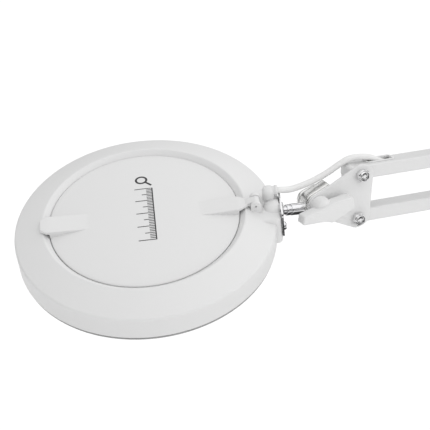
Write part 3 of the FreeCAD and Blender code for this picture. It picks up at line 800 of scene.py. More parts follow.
def meet(first: BMesh, second: BMesh, hull: BMesh) -> BMesh:
    """What two solids share, found by cutting away what lies outside the second.

    Args:
        first: A solid, which is used up.
        second: A solid, which is used up.
        hull: A solid that holds both, which is used up.

    Returns:
        The shared solid.
    """
    return combine(first, combine(hull, second, Mix.CUT), Mix.CUT)


def smooth_line(points: Sequence[Vector]) -> list[Vector]:
    """Reads a smooth line from a NURBS curve through its control points.

    Args:
        points: The control points.

    Returns:
        Closely spaced points on the curve.
    """
    data = bpy.data.curves.new("route", "CURVE")
    data.dimensions = "3D"
    spline = data.splines.new("NURBS")
    spline.points.add(len(points) - 1)
    for held, point in zip(spline.points, points):
        held.co = (*point, 1.0)
    spline.order_u = 3
    spline.use_endpoint_u = True
    spline.resolution_u = 14
    curve = bpy.data.objects.new("route", data)
    bpy.context.scene.collection.objects.link(curve)
    bpy.context.view_layer.update()
    mesh = bpy.data.meshes.new_from_object(curve)
    line = [vert.co.copy() for vert in mesh.vertices]
    bpy.data.objects.remove(curve)
    bpy.data.meshes.remove(mesh)
    return line


def tube(line: Sequence[Vector], radius: float, sides: int = 24) -> BMesh:
    """Round tube along a line, closed at both ends.

    Args:
        line: Points on its centreline.
        radius: Its radius.
        sides: Steps round it.

    Returns:
        The solid.
    """
    bm = bmesh.new()
    last_ring: list[bmesh.types.BMEdge] = []
    side = Vector((0, 1, 0))
    for index, point in enumerate(line):
        way = (line[min(index + 1, len(line) - 1)] - line[max(index - 1, 0)]).normalized()
        side = (side - way * side.dot(way)).normalized()
        third = way.cross(side)
        turn = Matrix((side, third, way)).transposed().to_4x4()
        turn.translation = point
        made = bmesh.ops.create_circle(bm, cap_ends=index in (0, len(line) - 1), radius=radius,
                                       segments=sides, matrix=turn)
        ring = list({edge for vert in made["verts"] for edge in vert.link_edges})
        if last_ring:
            bmesh.ops.bridge_loops(bm, edges=last_ring + ring)
        last_ring = ring
    return bm


# --- head -------------------------------------------------------------------------------


@dataclass
class HeadShell(Assembly):
    """The head's moulding: ring, ball-joint boss, lead lump and hinge ears."""

    radius: float = 112.0
    foot_radius: float = 111.0
    drum: float = 25.2
    lip_radius: float = 86.4
    lip_z: float = 10.84
    recess: float = 81.3
    floor_z: float = 5.0
    plate_x: float = 115.4
    hinge_x: float = 95.0
    hinge_z: float = 13.0
    eye_half: float = 3.4
    relief_x: float = 104.0
    relief_y: float = 10.0
    relief_z: float = 14.2
    relief_bore: float = 2.85
    socket: float = 10.0
    mouth_long: float = 7.0
    hood_wall: float = 0.9
    foot_rise: float = 3.2
    shoulder_z: float = -0.4
    recess_z: float = 6.8
    ceiling_z: float = 3.0
    bore: float = 64.0
    bore_low: float = -2.9
    skirt_in: float = 66.4
    skirt_out: float = 68.6
    skirt_z: float = -24.0
    boss_from: float = 96.5
    boss_half: float = 17.5
    boss_top: float = 5.4
    boss_corner: float = 5.0
    boss_rim: float = 2.6
    lump_from: float = 101.8
    lump_to: float = 112.6
    lump_half: float = 5.4
    pin_radius: float = 1.3
    pin_half: float = 6.7

    def ring(self) -> BMesh:
        """The turned ring with its soft shoulder and raised lip."""
        foot = -self.drum + self.foot_rise
        outside = [(self.foot_radius, foot, 0.5), (self.radius, self.shoulder_z, 1.9),
                   (self.lip_radius, self.lip_z, 1.1), (self.recess, self.recess_z, 0.5),
                   (self.recess, self.floor_z, 0.4)]
        bore = [(self.bore + 2.0, self.floor_z, 0.5), (self.bore, self.ceiling_z, 0.4),
                (self.bore, self.bore_low, 0.2), (self.skirt_in, self.bore_low, 0),
                (self.skirt_in, self.skirt_z, 0.3), (self.skirt_out, self.skirt_z, 0.3),
                (self.skirt_out, self.ceiling_z, 0)]
        under = [(83.6, self.ceiling_z, 0), (86.6, 8.2, 0), (108.0, -1.2, 1.0), (109.4, -3.2, 0.5),
                 (self.foot_radius - 2.0, foot, 0.3)]
        return lathe(outside + bore + under, 256, 7)

    def boss(self) -> BMesh:
        """The flat-faced boss that holds the ball joint."""
        half, top = self.boss_half, self.boss_top
        bm = block((self.boss_from, -half, -self.drum + 3.4), (self.plate_x, half, top))
        face_x = self.plate_x - 5.4
        upright = [e for e in bm.edges if min(v.co.x for v in e.verts) > face_x
                   and abs(e.verts[0].co.z - e.verts[1].co.z) > 1]
        bevel(bm, upright, self.boss_corner, 8)
        rim = [e for e in bm.edges if all(v.co.z > top - 0.01 for v in e.verts) and len(e.link_faces) == 2
               and e.calc_face_angle(0.0) > 0.5 and max(v.co.x for v in e.verts) > self.boss_from + 3.5]
        bevel(bm, rim, self.boss_rim, 6)
        return bm

    def hood(self) -> BMesh:
        """The rounded hood over the ball's socket."""
        at = LAYOUT.ball_at
        ball = sphere(self.socket + self.hood_wall, at, 64, 40)
        box = block((at.x - 40, -40, -40), (at.x + 40, 40, 40))
        keep = block((at.x - 20, -20, at.z - 2), (self.plate_x, 20, 20))
        return meet(ball, keep, box)

    def lump(self) -> BMesh:
        """The rounded lump that the lead leaves."""
        y, half = self.relief_y, self.lump_half
        return block((self.lump_from, y - half, -1.0), (self.lump_to, y + half, self.relief_z + 4.2), 4.6, 6)

    def ears(self) -> BMesh:
        """The two ears that carry the cover's pin."""
        parts = []
        for side in (-1, 1):
            inner, outer = side * (self.eye_half + 0.3), side * (self.eye_half + 3.3)
            front, back, top = self.hinge_x - 4.4, self.hinge_x + 4.6, self.hinge_z + 4.4
            outline = [(front, self.floor_z, 0), (back, self.floor_z, 0), (back, top, 4.2), (front, top, 4.2)]
            parts.append(prism(outline, min(inner, outer), max(inner, outer), 0.5, 2, 8))
        return together(*parts)

    def build(self) -> None:
        """Builds and dresses the shell."""
        shell = fuse(self.ring(), self.boss(), self.hood(), self.lump(), self.ears())
        shell = combine(shell, sphere(self.socket, LAYOUT.ball_at), Mix.CUT)
        mouth = rod(self.socket, LAYOUT.ball_at, LAYOUT.ball_at + RIGHT * self.mouth_long)
        shell = combine(shell, mouth, Mix.CUT)
        self.shop.piece(shell, "head_shell", Slot.WHITE_MOULDING, "head", LAYOUT.head, ("head_housing",),
                        26.0)
        low, top = -self.drum, -self.drum + 3.1
        bezel = lathe([(94.0, low, 0.4), (109.9, low, 0.8), (110.2, low + 1.6, 0), (109.4, low + 1.8, 0),
                       (109.4, top, 0), (94.0, top, 0.3)], 192, 3)
        trim = self.shop.piece(bezel, "foot_bezel", Slot.WHITE_MOULDING, "head", LAYOUT.head,
                               ("bottom_bezel",))
        # The bezel takes the darker moulding: painted shade for the shadow line along the head's bottom edge.
        trim.data.materials[0] = self.shop.trim
        self.shop.soften("lens_retainer", "head", Slot.WHITE_MOULDING, 0.3)
        self.shop.soften("diffuser_ring", "head", Slot.DIFFUSER, 0.3)
        self.shop.soften("led_board", "head", Slot.CIRCUIT_BOARD, 0.15, 1)
        self.shop.soften("led_driver", "head", Slot.CIRCUIT_BOARD, 0.6)
        bore, wall = self.relief_bore, self.relief_bore + 1.05
        relief = lathe([(bore, -0.5, 0), (wall, -0.5, 0.2), (wall, 8.6, 0.2), (wall + 0.5, 9.0, 0.3),
                        (wall + 0.5, 11.0, 0.8), (wall - 0.2, 11.0, 0.4), (bore, 6.0, 0)], 40, 3)
        relief.transform(along(RIGHT, Vector((self.relief_x, self.relief_y, self.relief_z))))
        self.shop.piece(relief, "lead_sleeve", Slot.WHITE_MOULDING, "head", LAYOUT.head, ("strain_relief",))
        ends = [Vector((self.hinge_x, side * self.pin_half, self.hinge_z)) for side in (-1, 1)]
        self.shop.piece(rod(self.pin_radius, *ends, 0.3, 24), "hinge_pin", Slot.CHROME, "head", LAYOUT.head,
                        ("cover_hinge_pin",))


@dataclass
class LensCover(Assembly):
    """The domed cover with its hinge tongue, finger tab and printed scale."""

    radius: float = 80.9
    rim_z: float = 8.0
    rise: float = 7.0
    wall: float = 2.2
    foot_z: float = 5.5
    clear_z: float = 11.5
    tongue_z: float = 14.0
    blank: float = 6.0
    sink: float = 1.7
    tongue_half: float = 8.6
    tab_half: float = 10.0
    scale_step: float = 2.0
    scale_x: float = 9.0
    eye_half: float = 3.4
    hinge_x: float = 95.0
    hinge_z: float = 13.0

    @property
    def dome_radius(self) -> float:
        """Radius of the dome's sphere."""
        return (self.radius ** 2 + self.rise ** 2) / (2 * self.rise)

    def dome_z(self, x: float, y: float) -> float:
        """Height of the dome's top over a point."""
        drop = self.dome_radius - math.sqrt(max(self.dome_radius ** 2 - x * x - y * y, 0.0))
        return self.rim_z + self.rise - drop

    def arc(self, bm: BMesh, top: float, reach: float) -> bmesh.types.BMVert:
        """Draws an arc of the dome's sphere from the axis outwards.

        Args:
            bm: The mesh it is drawn in.
            top: Its height on the axis.
            reach: Radius where it ends.

        Returns:
            Its last vertex.
        """
        middle = self.rim_z + self.rise - self.dome_radius
        apex = bm.verts.new((0, 0, top))
        drawn = bmesh.ops.spin(bm, geom=[apex], cent=(0, 0, middle), axis=(0, 1, 0), dvec=(0, 0, 0),
                               angle=math.asin(reach / (top - middle)), steps=36)
        return [v for v in drawn["geom_last"] if isinstance(v, bmesh.types.BMVert)][0]

    def dome(self) -> BMesh:
        """The shallow dome, as a shell with a rounded rim."""
        bm = bmesh.new()
        top = self.rim_z + self.rise
        inner = self.arc(bm, top - self.wall, self.radius - 2.3)
        last = self.arc(bm, top, self.radius - 0.9)
        rim = [(self.radius - 0.35, self.rim_z - 0.12), (self.radius - 0.05, self.rim_z - 0.5),
               (self.radius, self.rim_z - 1.0), (self.radius, self.foot_z), (self.radius - 2.0, self.foot_z),
               (inner.co.x, inner.co.z)]
        for x, z in rim:
            last = bmesh.ops.extrude_vert_indiv(bm, verts=[last])["verts"][0]
            last.co = (x, 0, z)
        turn_about_z(bm, 224)
        return bm

    def ramp(self, corners: Sequence[Corner], start: float, full: float, rounding: float) -> BMesh:
        """A raised strip that grows out of the dome.

        Args:
            corners: Its outline seen from above, as x, y and rounding.
            start: The x where its top leaves the dome.
            full: The x where it has its full height.
            rounding: Rounding of its top edges.

        Returns:
            The strip.
        """
        bm = bmesh.new()
        face = outline_face(bm, corners, 5)
        bm.transform(Matrix.Rotation(math.radians(-90), 4, "X"))
        extrude(bm, face, (0, 0, self.blank))
        rim = [e for e in bm.edges if all(v.co.z > self.blank - 0.1 for v in e.verts)]
        bevel(bm, rim, rounding, 4)
        over_gap = math.copysign(self.radius - 0.5, full)
        cuts = [start + (full - start) * step / 10 for step in range(1, 12)]
        for cut in cuts + [over_gap, over_gap + math.copysign(0.2, full)]:
            bmesh.ops.bisect_plane(bm, geom=bm.verts[:] + bm.edges[:] + bm.faces[:], dist=1e-5,
                                   plane_co=(cut, 0, 0), plane_no=(1, 0, 0))
        for vert in bm.verts:
            grow = min(max((vert.co.x - start) / (full - start), 0.0), 1.0)
            dome = self.dome_z(vert.co.x, vert.co.y)
            low_top = self.dome_z(start, 0) - 0.25
            top = low_top + (self.tongue_z - low_top) * grow
            bottom = dome - self.sink if abs(vert.co.x) < abs(over_gap) + 0.1 else self.clear_z
            vert.co.z = top - (self.blank - vert.co.z) if vert.co.z > self.blank / 2 else bottom
        bmesh.ops.recalc_face_normals(bm, faces=bm.faces)
        return bm

    def eye(self) -> BMesh:
        """The hinge eye at the tongue's end."""
        x, z = self.hinge_x, self.hinge_z
        return prism([(86.0, 12.2, 0), (x, z - 3.6, 3.0), (x + 3.6, z - 3.6, 3.5), (x + 3.6, z + 3.6, 3.5),
                      (x, z + 3.6, 2.0), (86.0, self.tongue_z, 0)], -self.eye_half, self.eye_half, 0.3, 2, 8)

    def build(self) -> None:
        """Builds and dresses the cover."""
        wide = self.tongue_half
        eye = self.eye_half
        tongue = self.ramp([(42, -wide, 0), (80.0, -wide, 1.5), (89, -eye, 1), (89, eye, 1),
                            (80.0, wide, 1.5), (42, wide, 0)], 46.0, 80.0, 0.8)
        wide = self.tab_half
        tab = self.ramp([(-42, -wide, 0), (-42, wide, 0), (-83, wide, 1.5), (-88.5, 6, 1.5), (-88.5, -6, 1.5),
                         (-83, -wide, 1.5)], -46.0, -80.0, 1.0)
        cover = fuse(self.dome(), tongue, tab, self.eye())
        self.shop.piece(cover, "dust_cover", Slot.WHITE_MOULDING, "lens_cover", LAYOUT.head, ("lens_cover",),
                        26.0)
        self.print_scale()

    def print_scale(self) -> None:
        """A plain printed scale with a small lens sign above it."""
        strokes = []
        lift, thick = 0.05, 0.06
        for step in range(33):
            y = 31.0 - step * self.scale_step
            long = 15.0 if step % 8 == 0 else (9.0 if step % 4 == 0 else 5.0)
            strokes.append(block((self.scale_x - long, y - 0.38, 0), (self.scale_x, y + 0.38, thick)))
        strokes.append(block((8.6, -33.4, 0), (9.6, 31.4, thick)))
        sign = lathe([(3.6, 0, 0), (5.4, 0, 0), (5.4, thick, 0), (3.6, thick, 0)], 40, 1)
        sign.transform(Matrix.Translation((0.5, 43.5, 0)))
        handle = block((-0.9, -6.5, 0), (0.9, 0, thick))
        handle.transform(Matrix.Translation((4.2, 39.8, 0)) @ Matrix.Rotation(math.radians(45), 4, "Z"))
        printed = together(sign, handle, *strokes)
        bmesh.ops.subdivide_edges(printed, edges=[e for e in printed.edges if e.calc_length() > 6], cuts=4)
        for vert in printed.verts:
            vert.co.z += self.dome_z(vert.co.x, vert.co.y) + lift
        self.shop.piece(printed, "cover_print", Slot.BLACK_RUBBER, "lens_cover", LAYOUT.head)


@dataclass
class BallJoint(Assembly):
    """The stem with its ball, and the plate and screws that keep the ball in the head."""

    stem_radius: float = 5.0
    neck_radius: float = 3.5
    ball_radius: float = 9.0
    neck_from: float = 11.2
    collar_long: float = 4.5
    plate_x: float = 115.4
    plate_thick: float = 1.6
    screw_y: float = 12.5
    screw_z: float = -7.0
    seat_wall: float = 0.8
    seat_play: float = 0.06

    def stem(self) -> None:
        """Builds the chromed stem, turned about its own axis from the ball."""
        reach = LAYOUT.stem_reach
        collar_end = self.neck_from + self.collar_long
        r = self.stem_radius
        collar = r - 0.3
        groove = r - 1.1
        bm = lathe([(0, 6.0, 0), (self.neck_radius, 6.0, 0), (self.neck_radius, self.neck_from - 0.4, 0.3),
                    (collar, self.neck_from, 0.6), (collar, collar_end - 0.9, 0.4),
                    (groove, collar_end - 0.6, 0.15), (groove, collar_end - 0.1, 0.15),
                    (r, collar_end + 0.3, 0.5), (r, reach - 2.0, 0.3), (0, reach - 2.0, 0)], 64, 4)
        bm.transform(along(-LAYOUT.stem_way, LAYOUT.ball))
        whole = together(bm, sphere(self.ball_radius, LAYOUT.ball))
        self.shop.piece(whole, "ball_stem", Slot.CHROME, "knuckle", TO_METRES, ("stem",), 30.0)

    def screws(self) -> None:
        """Builds the two pan-head screws with crossed slots."""
        heads = []
        for side in (-1, 1):
            head = lathe([(0, 0, 0), (3.6, 0, 0.2), (3.5, 1.2, 0.9), (2.2, 2.3, 1.0), (0, 2.4, 0)], 40, 5)
            for turn in (20.0, 110.0):
                slot = block((-2.1, -0.42, 1.0), (2.1, 0.42, 4.0))
                slot.transform(Matrix.Rotation(math.radians(turn + side * 17), 4, "Z"))
                head = combine(head, slot, Mix.CUT)
            both = together(head, rod(1.6, Vector((0, 0, -8)), Vector((0, 0, 0.5))))
            seat = Vector((self.plate_x + self.plate_thick, side * self.screw_y, self.screw_z))
            both.transform(along(RIGHT, seat))
            heads.append(both)
        self.shop.piece(together(*heads), "pan_screws", Slot.CHROME, "head", LAYOUT.head,
                        ("ball_plate_screws",), 26.0)

    def build(self) -> None:
        """Builds and dresses the joint."""
        self.stem()
        self.screws()
        self.shop.soften("ball_plate", "head", Slot.ZINC_STEEL, 0.3)
        mouth = block((self.plate_x - 0.8, -20, -20), (125, 20, 20))
        seat = combine(sphere(self.ball_radius + self.seat_wall, LAYOUT.ball_at), mouth, Mix.CUT)
        seat = combine(seat, sphere(self.ball_radius + self.seat_play, LAYOUT.ball_at), Mix.CUT)
        self.shop.piece(seat, "seat_cup", Slot.NYLON, "ball_seat", LAYOUT.head, ("ball_seat",))


# --- knuckle ----------------------------------------------------------------------------


@dataclass
class Knuckle(Assembly):
    """The cast block and clamp disc, on a carriage bolt."""

    nose: float = 9.8
    front: float = -7.9
    thick: float = 13.8
    groove: float = 0.9
    low: float = -13.5
    high: float = 16.0
    disc_far: float = 5.0
    washer_radius: float = 6.5
    bolt_radius: float = 3.0
    bolt_from: float = -25.5

    def outline(self, inset: float) -> list[Corner]:
        """The block's side view, drawn in by a distance."""
        low, high = self.low + inset, self.high - inset
        nose = inset - self.nose
        return [(nose, 6.5, 6.0), (nose, low, 4.0), (12.5 - inset, low, 0.6), (12.8 - inset, high, 0.8)]

    def build(self) -> None:
        """Builds and dresses the knuckle."""
        place = LAYOUT.at(LAYOUT.knuckle)
        back = self.front + self.thick
        body = together(prism(self.outline(0.0), self.front + 2.6, back, 0.6, 3, 14),
                        prism(self.outline(1.3), self.front + 1.0, self.front + 3.2, 0, 1, 14),
                        prism(self.outline(0.2), self.front, self.front + 1.7, 0.5, 3, 14))
        self.shop.piece(body, "cast_block", Slot.CAST_ZINC, "knuckle", place, ("knuckle_block",), 30.0)
        nose = self.nose
        outline = [(-nose, 5.9, 6.2), (-nose, -nose, 8.6), (4.0, -nose, 4.0), (11.4, -1.5, 4.0),
                   (10.6, 12.0, 5.0)]
        disc = prism(outline, back + self.groove, back + self.disc_far, 0.8, 3, 14)
        self.shop.piece(disc, "clamp_disc", Slot.CAST_ZINC, "knuckle", place, ("knuckle_clamp_disc",), 30.0)
        washer = rod(self.washer_radius, Vector((0, back, 0)), Vector((0, back + self.groove, 0)), 0.1)
        self.shop.piece(washer, "spacer_washer", Slot.ZINC_STEEL, "knuckle", place, ("knuckle_washer",))
        end = back + self.disc_far + 0.2
        bolt = lathe([(0, 0, 0), (7.0, 0, 0.3), (6.6, 1.4, 0.8), (4.0, 3.0, 1.6), (0, 3.0, 0)], 48, 5)
        bolt.transform(along(-FORWARD, Vector((0, end, 0))))
        shank = rod(self.bolt_radius, Vector((0, self.bolt_from, 0)), Vector((0, end + 0.5, 0)), 0.4, 32)
        self.shop.piece(together(bolt, shank), "carriage_bolt", Slot.ZINC_STEEL, "head_bracket", place,
                        ("knuckle_bolt",))


@dataclass
class WingKnob(Assembly):
    """The moulded knob with a domed hub and two swept wings."""

    near: float = -11.1
    deep: float = 17.0
    hub: float = 9.4
    wing_from: float = 5.0
    wing_rounding: float = 1.1

    def build(self) -> None:
        """Builds and dresses the knob."""
        hub = lathe([(0, 0, 0), (self.hub, 0, 0.5), (self.hub - 0.8, self.deep - 3.5, 5.5),
                     (0, self.deep - 2.6, 0)], 64, 10)
        hub.transform(along(FORWARD, Vector((0, self.near, 0))))
        outline = [(-24.0, -8.0, 1.6), (-23.0, -0.6, 1.8), (-8.0, 2.6, 4.0), (7.4, 7.6, 4.0),
                   (24.6, 9.4, 2.2), (26.4, -1.2, 2.0), (11.0, -8.2, 3.0), (4.6, -11.2, 2.2),
                   (0.0, -8.9, 3.0), (-8.0, -8.4, 3.0)]
        front = self.near - self.deep + 1.2
        wings = prism(outline, front, self.near - self.wing_from, self.wing_rounding, 4, 4)
        self.shop.piece(fuse(hub, wings), "clamp_knob", Slot.WHITE_MOULDING, "wing_knob",
                        LAYOUT.at(LAYOUT.knuckle), ("wing_knob",), 34.0)


@dataclass
class PivotFixings(Assembly):
    """A row of hexagon bolts along Y, each with a collared lock nut at the front."""

    bolts_node: str
    nuts_node: str
    body: str
    centres: tuple[Vector, ...]
    flats: float = 10.0
    plate_out: float = 10.7
    nut_high: float = 4.6
    collar_high: float = 2.0
    bolt_radius: float = 3.0
    pitch: float = 1.0
    head_high: float = 4.0
    turned: float = 0.75
    first_turn: float = 17.0
    next_turn: float = 23.0

    def hexagon(self, high: float) -> BMesh:
        """A hexagon whose corners are turned down at both ends.

        Args:
            high: Its thickness.

        Returns:
            The solid, from z 0 upwards.
        """
        corner = self.flats / 2 / math.cos(math.radians(30))
        bm = bmesh.new()
        bmesh.ops.create_cone(bm, cap_ends=True, segments=6, radius1=corner, radius2=corner, depth=high,
                              matrix=Matrix.Translation((0, 0, high / 2)))
        flat, wide, over = self.flats / 2 - 0.2, corner + 0.1, high + 0.1
        trim = lathe([(0, -0.1, 0), (flat, -0.1, 0), (wide, self.turned, 0), (wide, high - self.turned, 0),
                      (flat, over, 0), (0, over, 0)], 48, 1)
        shape = meet(bm, trim, block((-20, -20, -5), (20, 20, 20)))
        round_edges(shape, 0.12, 2, 40.0)
        return shape

    def nut(self) -> BMesh:
        """A nut with a domed collar and its insert's groove."""
        high, top = self.nut_high, self.nut_high + self.collar_high
        collar = lathe([(3.05, high - 0.4, 0), (4.5, high - 0.4, 0), (4.4, top - 0.5, 0.5), (3.9, top, 0.3),
                        (3.75, top - 0.3, 0.1), (3.7, high + 0.2, 0), (3.05, high + 0.1, 0)], 48, 4)
        return together(self.hexagon(high), collar)

    def thread(self) -> BMesh:
        """The bolt's threaded tip, from the nut outwards."""
        r, pitch = self.bolt_radius, self.pitch
        corners: list[Corner] = [(0, -6.0, 0), (r - 0.05, -6.0, 0)]
        for step in range(5):
            z = 0.6 + step * pitch
            corners += [(r - 0.02, z, 0), (r - 0.5, z + pitch / 2, 0)]
        corners += [(r - 0.1, 5.6, 0), (r - 0.9, 5.95, 0.2), (r - 1.4, 5.5, 0.1), (0, 5.8, 0)]
        return lathe(corners, 40, 2)

    def build(self) -> None:
        """Builds and dresses the bolts and nuts."""
        nuts, bolts = [], []
        out = FORWARD * self.plate_out
        for index, centre in enumerate(self.centres):
            angle = math.radians(self.first_turn + self.next_turn * index)
            turn = Matrix.Rotation(angle, 4, "Z")
            nut, tip, head = self.nut(), self.thread(), self.hexagon(self.head_high)
            nut.transform(along(FORWARD, centre + out) @ turn)
            tip.transform(along(FORWARD, centre + out))
            head.transform(along(-FORWARD, centre - out) @ turn)
            shank = rod(self.bolt_radius, centre + out - FORWARD, centre - out - FORWARD, 0, 32)
            nuts.append(nut)
            bolts += [tip, head, shank]
        for node, parts in ((self.nuts_node, nuts), (self.bolts_node, bolts)):
            self.shop.piece(together(*parts), node + "_turned", Slot.ZINC_STEEL, self.body, TO_METRES,
                            (node,))


@dataclass
class EndCaps(Assembly):
    """The moulded caps that close both ends of one tube."""

    bar: str
    body: str
    start: Vector
    angle: float
    outer: float = 9.8
    inner: float = 3.6
    half_high: float = 6.25
    half_wide: float = 8.0
    nose: float = 3.0

    def build(self) -> None:
        """Builds and dresses the caps."""
        high, wide = self.half_high, self.half_wide
        caps = []
        for end in (0, 1):
            cap = prism([(-self.outer, -high, self.nose), (-self.inner, -high, 0), (-self.inner, high, 0),
                         (-self.outer, high, self.nose)], -wide, wide, 0.4, 2, 6)
            turn = Matrix.Rotation(math.pi * end, 4, "Z")
            cap.transform(Matrix.Translation((LAYOUT.arm_length * end, 0, 0)) @ turn)
            caps.append(cap)
        place = LAYOUT.at(self.start) @ Matrix.Rotation(math.radians(-self.angle), 4, "Y")
        self.shop.piece(together(*caps), self.bar + "_end_caps", Slot.WHITE_MOULDING, self.body, place,
                   (self.bar + "_caps",))


@dataclass(frozen=True)
class SoftEdge:
    """A CAD node that only needs its edges rounded."""

    node: str
    body: str
    slot: Slot
    width: float
    segments: int = 2


SOFT_EDGES = (
    SoftEdge("head_bracket_plate", "head_bracket", Slot.WHITE_PAINT, 0.7, 3),
    SoftEdge("head_bracket_strap", "head_bracket", Slot.WHITE_PAINT, 0.6),
    SoftEdge("top_bar_grommets", "upper_top", Slot.WHITE_MOULDING, 0.25),
    SoftEdge("rear_bar_grommets", "lower_rear", Slot.WHITE_MOULDING, 0.25),
    SoftEdge("elbow_front_plate", "elbow", Slot.WHITE_PAINT, 0.7, 3),
    SoftEdge("elbow_back_plate", "elbow", Slot.WHITE_PAINT, 0.7, 3),
    SoftEdge("elbow_spacer", "elbow", Slot.ZINC_STEEL, 0.4),
    SoftEdge("base_front_plate", "post", Slot.WHITE_PAINT, 0.7, 3),
    SoftEdge("base_back_plate", "post", Slot.WHITE_PAINT, 0.7, 3),
    SoftEdge("base_block", "post", Slot.WHITE_PAINT, 0.8, 3),
    SoftEdge("base_block_screws", "post", Slot.ZINC_STEEL, 0.5, 3),
    SoftEdge("base_post", "post", Slot.CHROME, 0.8, 3),
    SoftEdge("clamp_frame", "clamp", Slot.WHITE_PAINT, 0.9, 3),
    SoftEdge("jaw_pad", "clamp", Slot.BLACK_RUBBER, 0.5),
    SoftEdge("clamp_foot", "clamp_foot", Slot.ZINC_STEEL, 0.7, 3),
    SoftEdge("clamp_foot_pad", "clamp_foot", Slot.BLACK_RUBBER, 0.5),
    SoftEdge("clamp_handle", "clamp_handle", Slot.ZINC_STEEL, 0.6, 3),
    SoftEdge("post_screw", "post_lock", Slot.ZINC_STEEL, 0.4),
    SoftEdge("post_screw_grip", "post_lock", Slot.BLACK_RUBBER, 0.9, 3),
)


@dataclass
class ClampScrew(Assembly):
    """The clamp's threaded spindle."""

    x: float = -12.0
    low: float = -116.0
    high: float = -48.0
    radius: float = 5.0
    pitch: float = 2.0

    def build(self) -> None:
        """Builds and dresses the spindle."""
        corners: list[Corner] = [(0, 0, 0), (self.radius - 0.8, 0, 0), (self.radius - 0.1, 0.8, 0),
                                 (self.radius - 0.1, 17.0, 0)]
        turns = int((self.high - self.low - 20.0) / self.pitch)
        for step in range(turns):
            z = 18.0 + step * self.pitch
            corners += [(self.radius - 0.75, z, 0), (self.radius, z + self.pitch * 0.5, 0)]
        corners.append((0, self.high - self.low, 0))
        corners.insert(-1, (self.radius - 0.5, self.high - self.low, 0))
        self.shop.piece(lathe(corners, 40, 1), "threaded_spindle", Slot.ZINC_STEEL, "clamp_screw",
                   LAYOUT.at(Vector((self.x, 0, self.low))), ("clamp_screw",))


@dataclass(frozen=True)
class Span:
    """A stretch of a lead between two bodies; distances are in millimetres along the lead."""

    name: str
    first: str
    second: str
    begin: float
    end: float
    bend_from: float
    bend_to: float


@dataclass
class Leads(Assembly):
    """The lead from the head into the upper arm, and from there over the elbow."""

    radius: float = 2.75
    slot_y: float = 2.0
    exit_x: tuple[float, float] = (105.0, 114.0)
    exit_y: float = 10.0
    exit_z: float = 14.2
    head_route: tuple[Corner, ...] = (
        (-21.5, 5.0, 12.8), (-9.0, 4.6, 14.2), (4.0, 4.2, 17.4), (16.0, 3.8, 21.9), (27.0, 3.3, 27.8),
        (36.5, 2.8, 32.2))
    elbow_route: tuple[Corner, ...] = (
        (7.0, 2.0, 13.0), (20.0, 2.0, 8.0), (31.0, 2.0, -3.0), (39.0, 2.0, -19.0), (43.0, 2.0, -37.0),
        (42.5, 2.0, -56.0), (38.0, 2.0, -73.0))
    dive: tuple[tuple[float, float], ...] = ((5.2, 11.2), (15.5, 9.4), (27.0, 3.4), (40.0, 0.0), (56.0, 0.0))

    def on_bar(self, start: Vector, angle: float, x: float, z: float) -> Vector:
        """Point given in a bar's own directions, from its first pivot."""
        way = heading(angle)
        return start + way * x + Vector((-way.z, 0, way.x)) * z + Vector((0, self.slot_y, 0))

    def head_points(self) -> list[Vector]:
        """Control points of the lead from the head, in millimetres."""
        turn, origin = LAYOUT.head_turn, LAYOUT.head_origin
        inside, outside = (origin + turn @ Vector((x, self.exit_y, self.exit_z)) for x in self.exit_x)
        route = [inside, outside + (outside - inside) * 0.25]
        route += [LAYOUT.knuckle + Vector(point) for point in self.head_route]
        return route + [self.on_bar(LAYOUT.head_top, LAYOUT.upper_angle, x, z) for x, z in self.dive]

    def elbow_points(self) -> list[Vector]:
        """Control points of the lead over the elbow, in millimetres."""
        far = LAYOUT.arm_length
        route = [self.on_bar(LAYOUT.head_top, LAYOUT.upper_angle, far - x, z) for x, z in reversed(self.dive)]
        route += [LAYOUT.elbow_top + Vector(point) for point in self.elbow_route]
        return route + [self.on_bar(LAYOUT.base_b, LAYOUT.lower_angle, far - x, -z) for x, z in self.dive]

    def stretches(self, line: list[Vector], node: str, spans: Sequence[Span]) -> None:
        """Cuts a lead into stretches that each run across one joint.

        Args:
            line: Points on the lead's centreline, in millimetres.
            node: The CAD node that the stretches replace.
            spans: The stretches in order.
        """
        travelled = [0.0]
        for here, there in zip(line, line[1:]):
            travelled.append(travelled[-1] + (there - here).length)
        log.info("%s: %.1f mm long", node, travelled[-1])

        def index_at(distance: float) -> int:
            """Index of the line's point nearest to a distance along it."""
            return min(range(len(line)), key=lambda index: abs(travelled[index] - distance))

        for span in spans:
            begin, end = index_at(span.begin), index_at(span.end)
            part = line[begin:end + 1]
            piece = self.shop.piece(tube(part, self.radius), span.name, Slot.LEAD_JACKET, None, TO_METRES,
                                    (node,))
            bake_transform(piece)

    def build(self) -> None:
        """Builds and dresses the leads."""
        self.stretches(smooth_line(self.head_points()), "head_lead", (
            Span("lead_at_head", "head", "ball_seat", 0, 34, 12, 34),
            Span("lead_over_ball", "ball_seat", "knuckle", 34, 68, 34, 64),
            Span("lead_over_knuckle", "knuckle", "head_bracket", 68, 102, 68, 92),
            Span("lead_into_bar", "head_bracket", "upper_top", 102, 400, 102, 118)))
        self.stretches(smooth_line(self.elbow_points()), "elbow_lead", (
            Span("lead_out_of_bar", "upper_top", "elbow", 0, 104, 52, 100),
            Span("lead_over_elbow", "elbow", "lower_rear", 104, 400, 130, 186)))


# --- studio -----------------------------------------------------------------------------


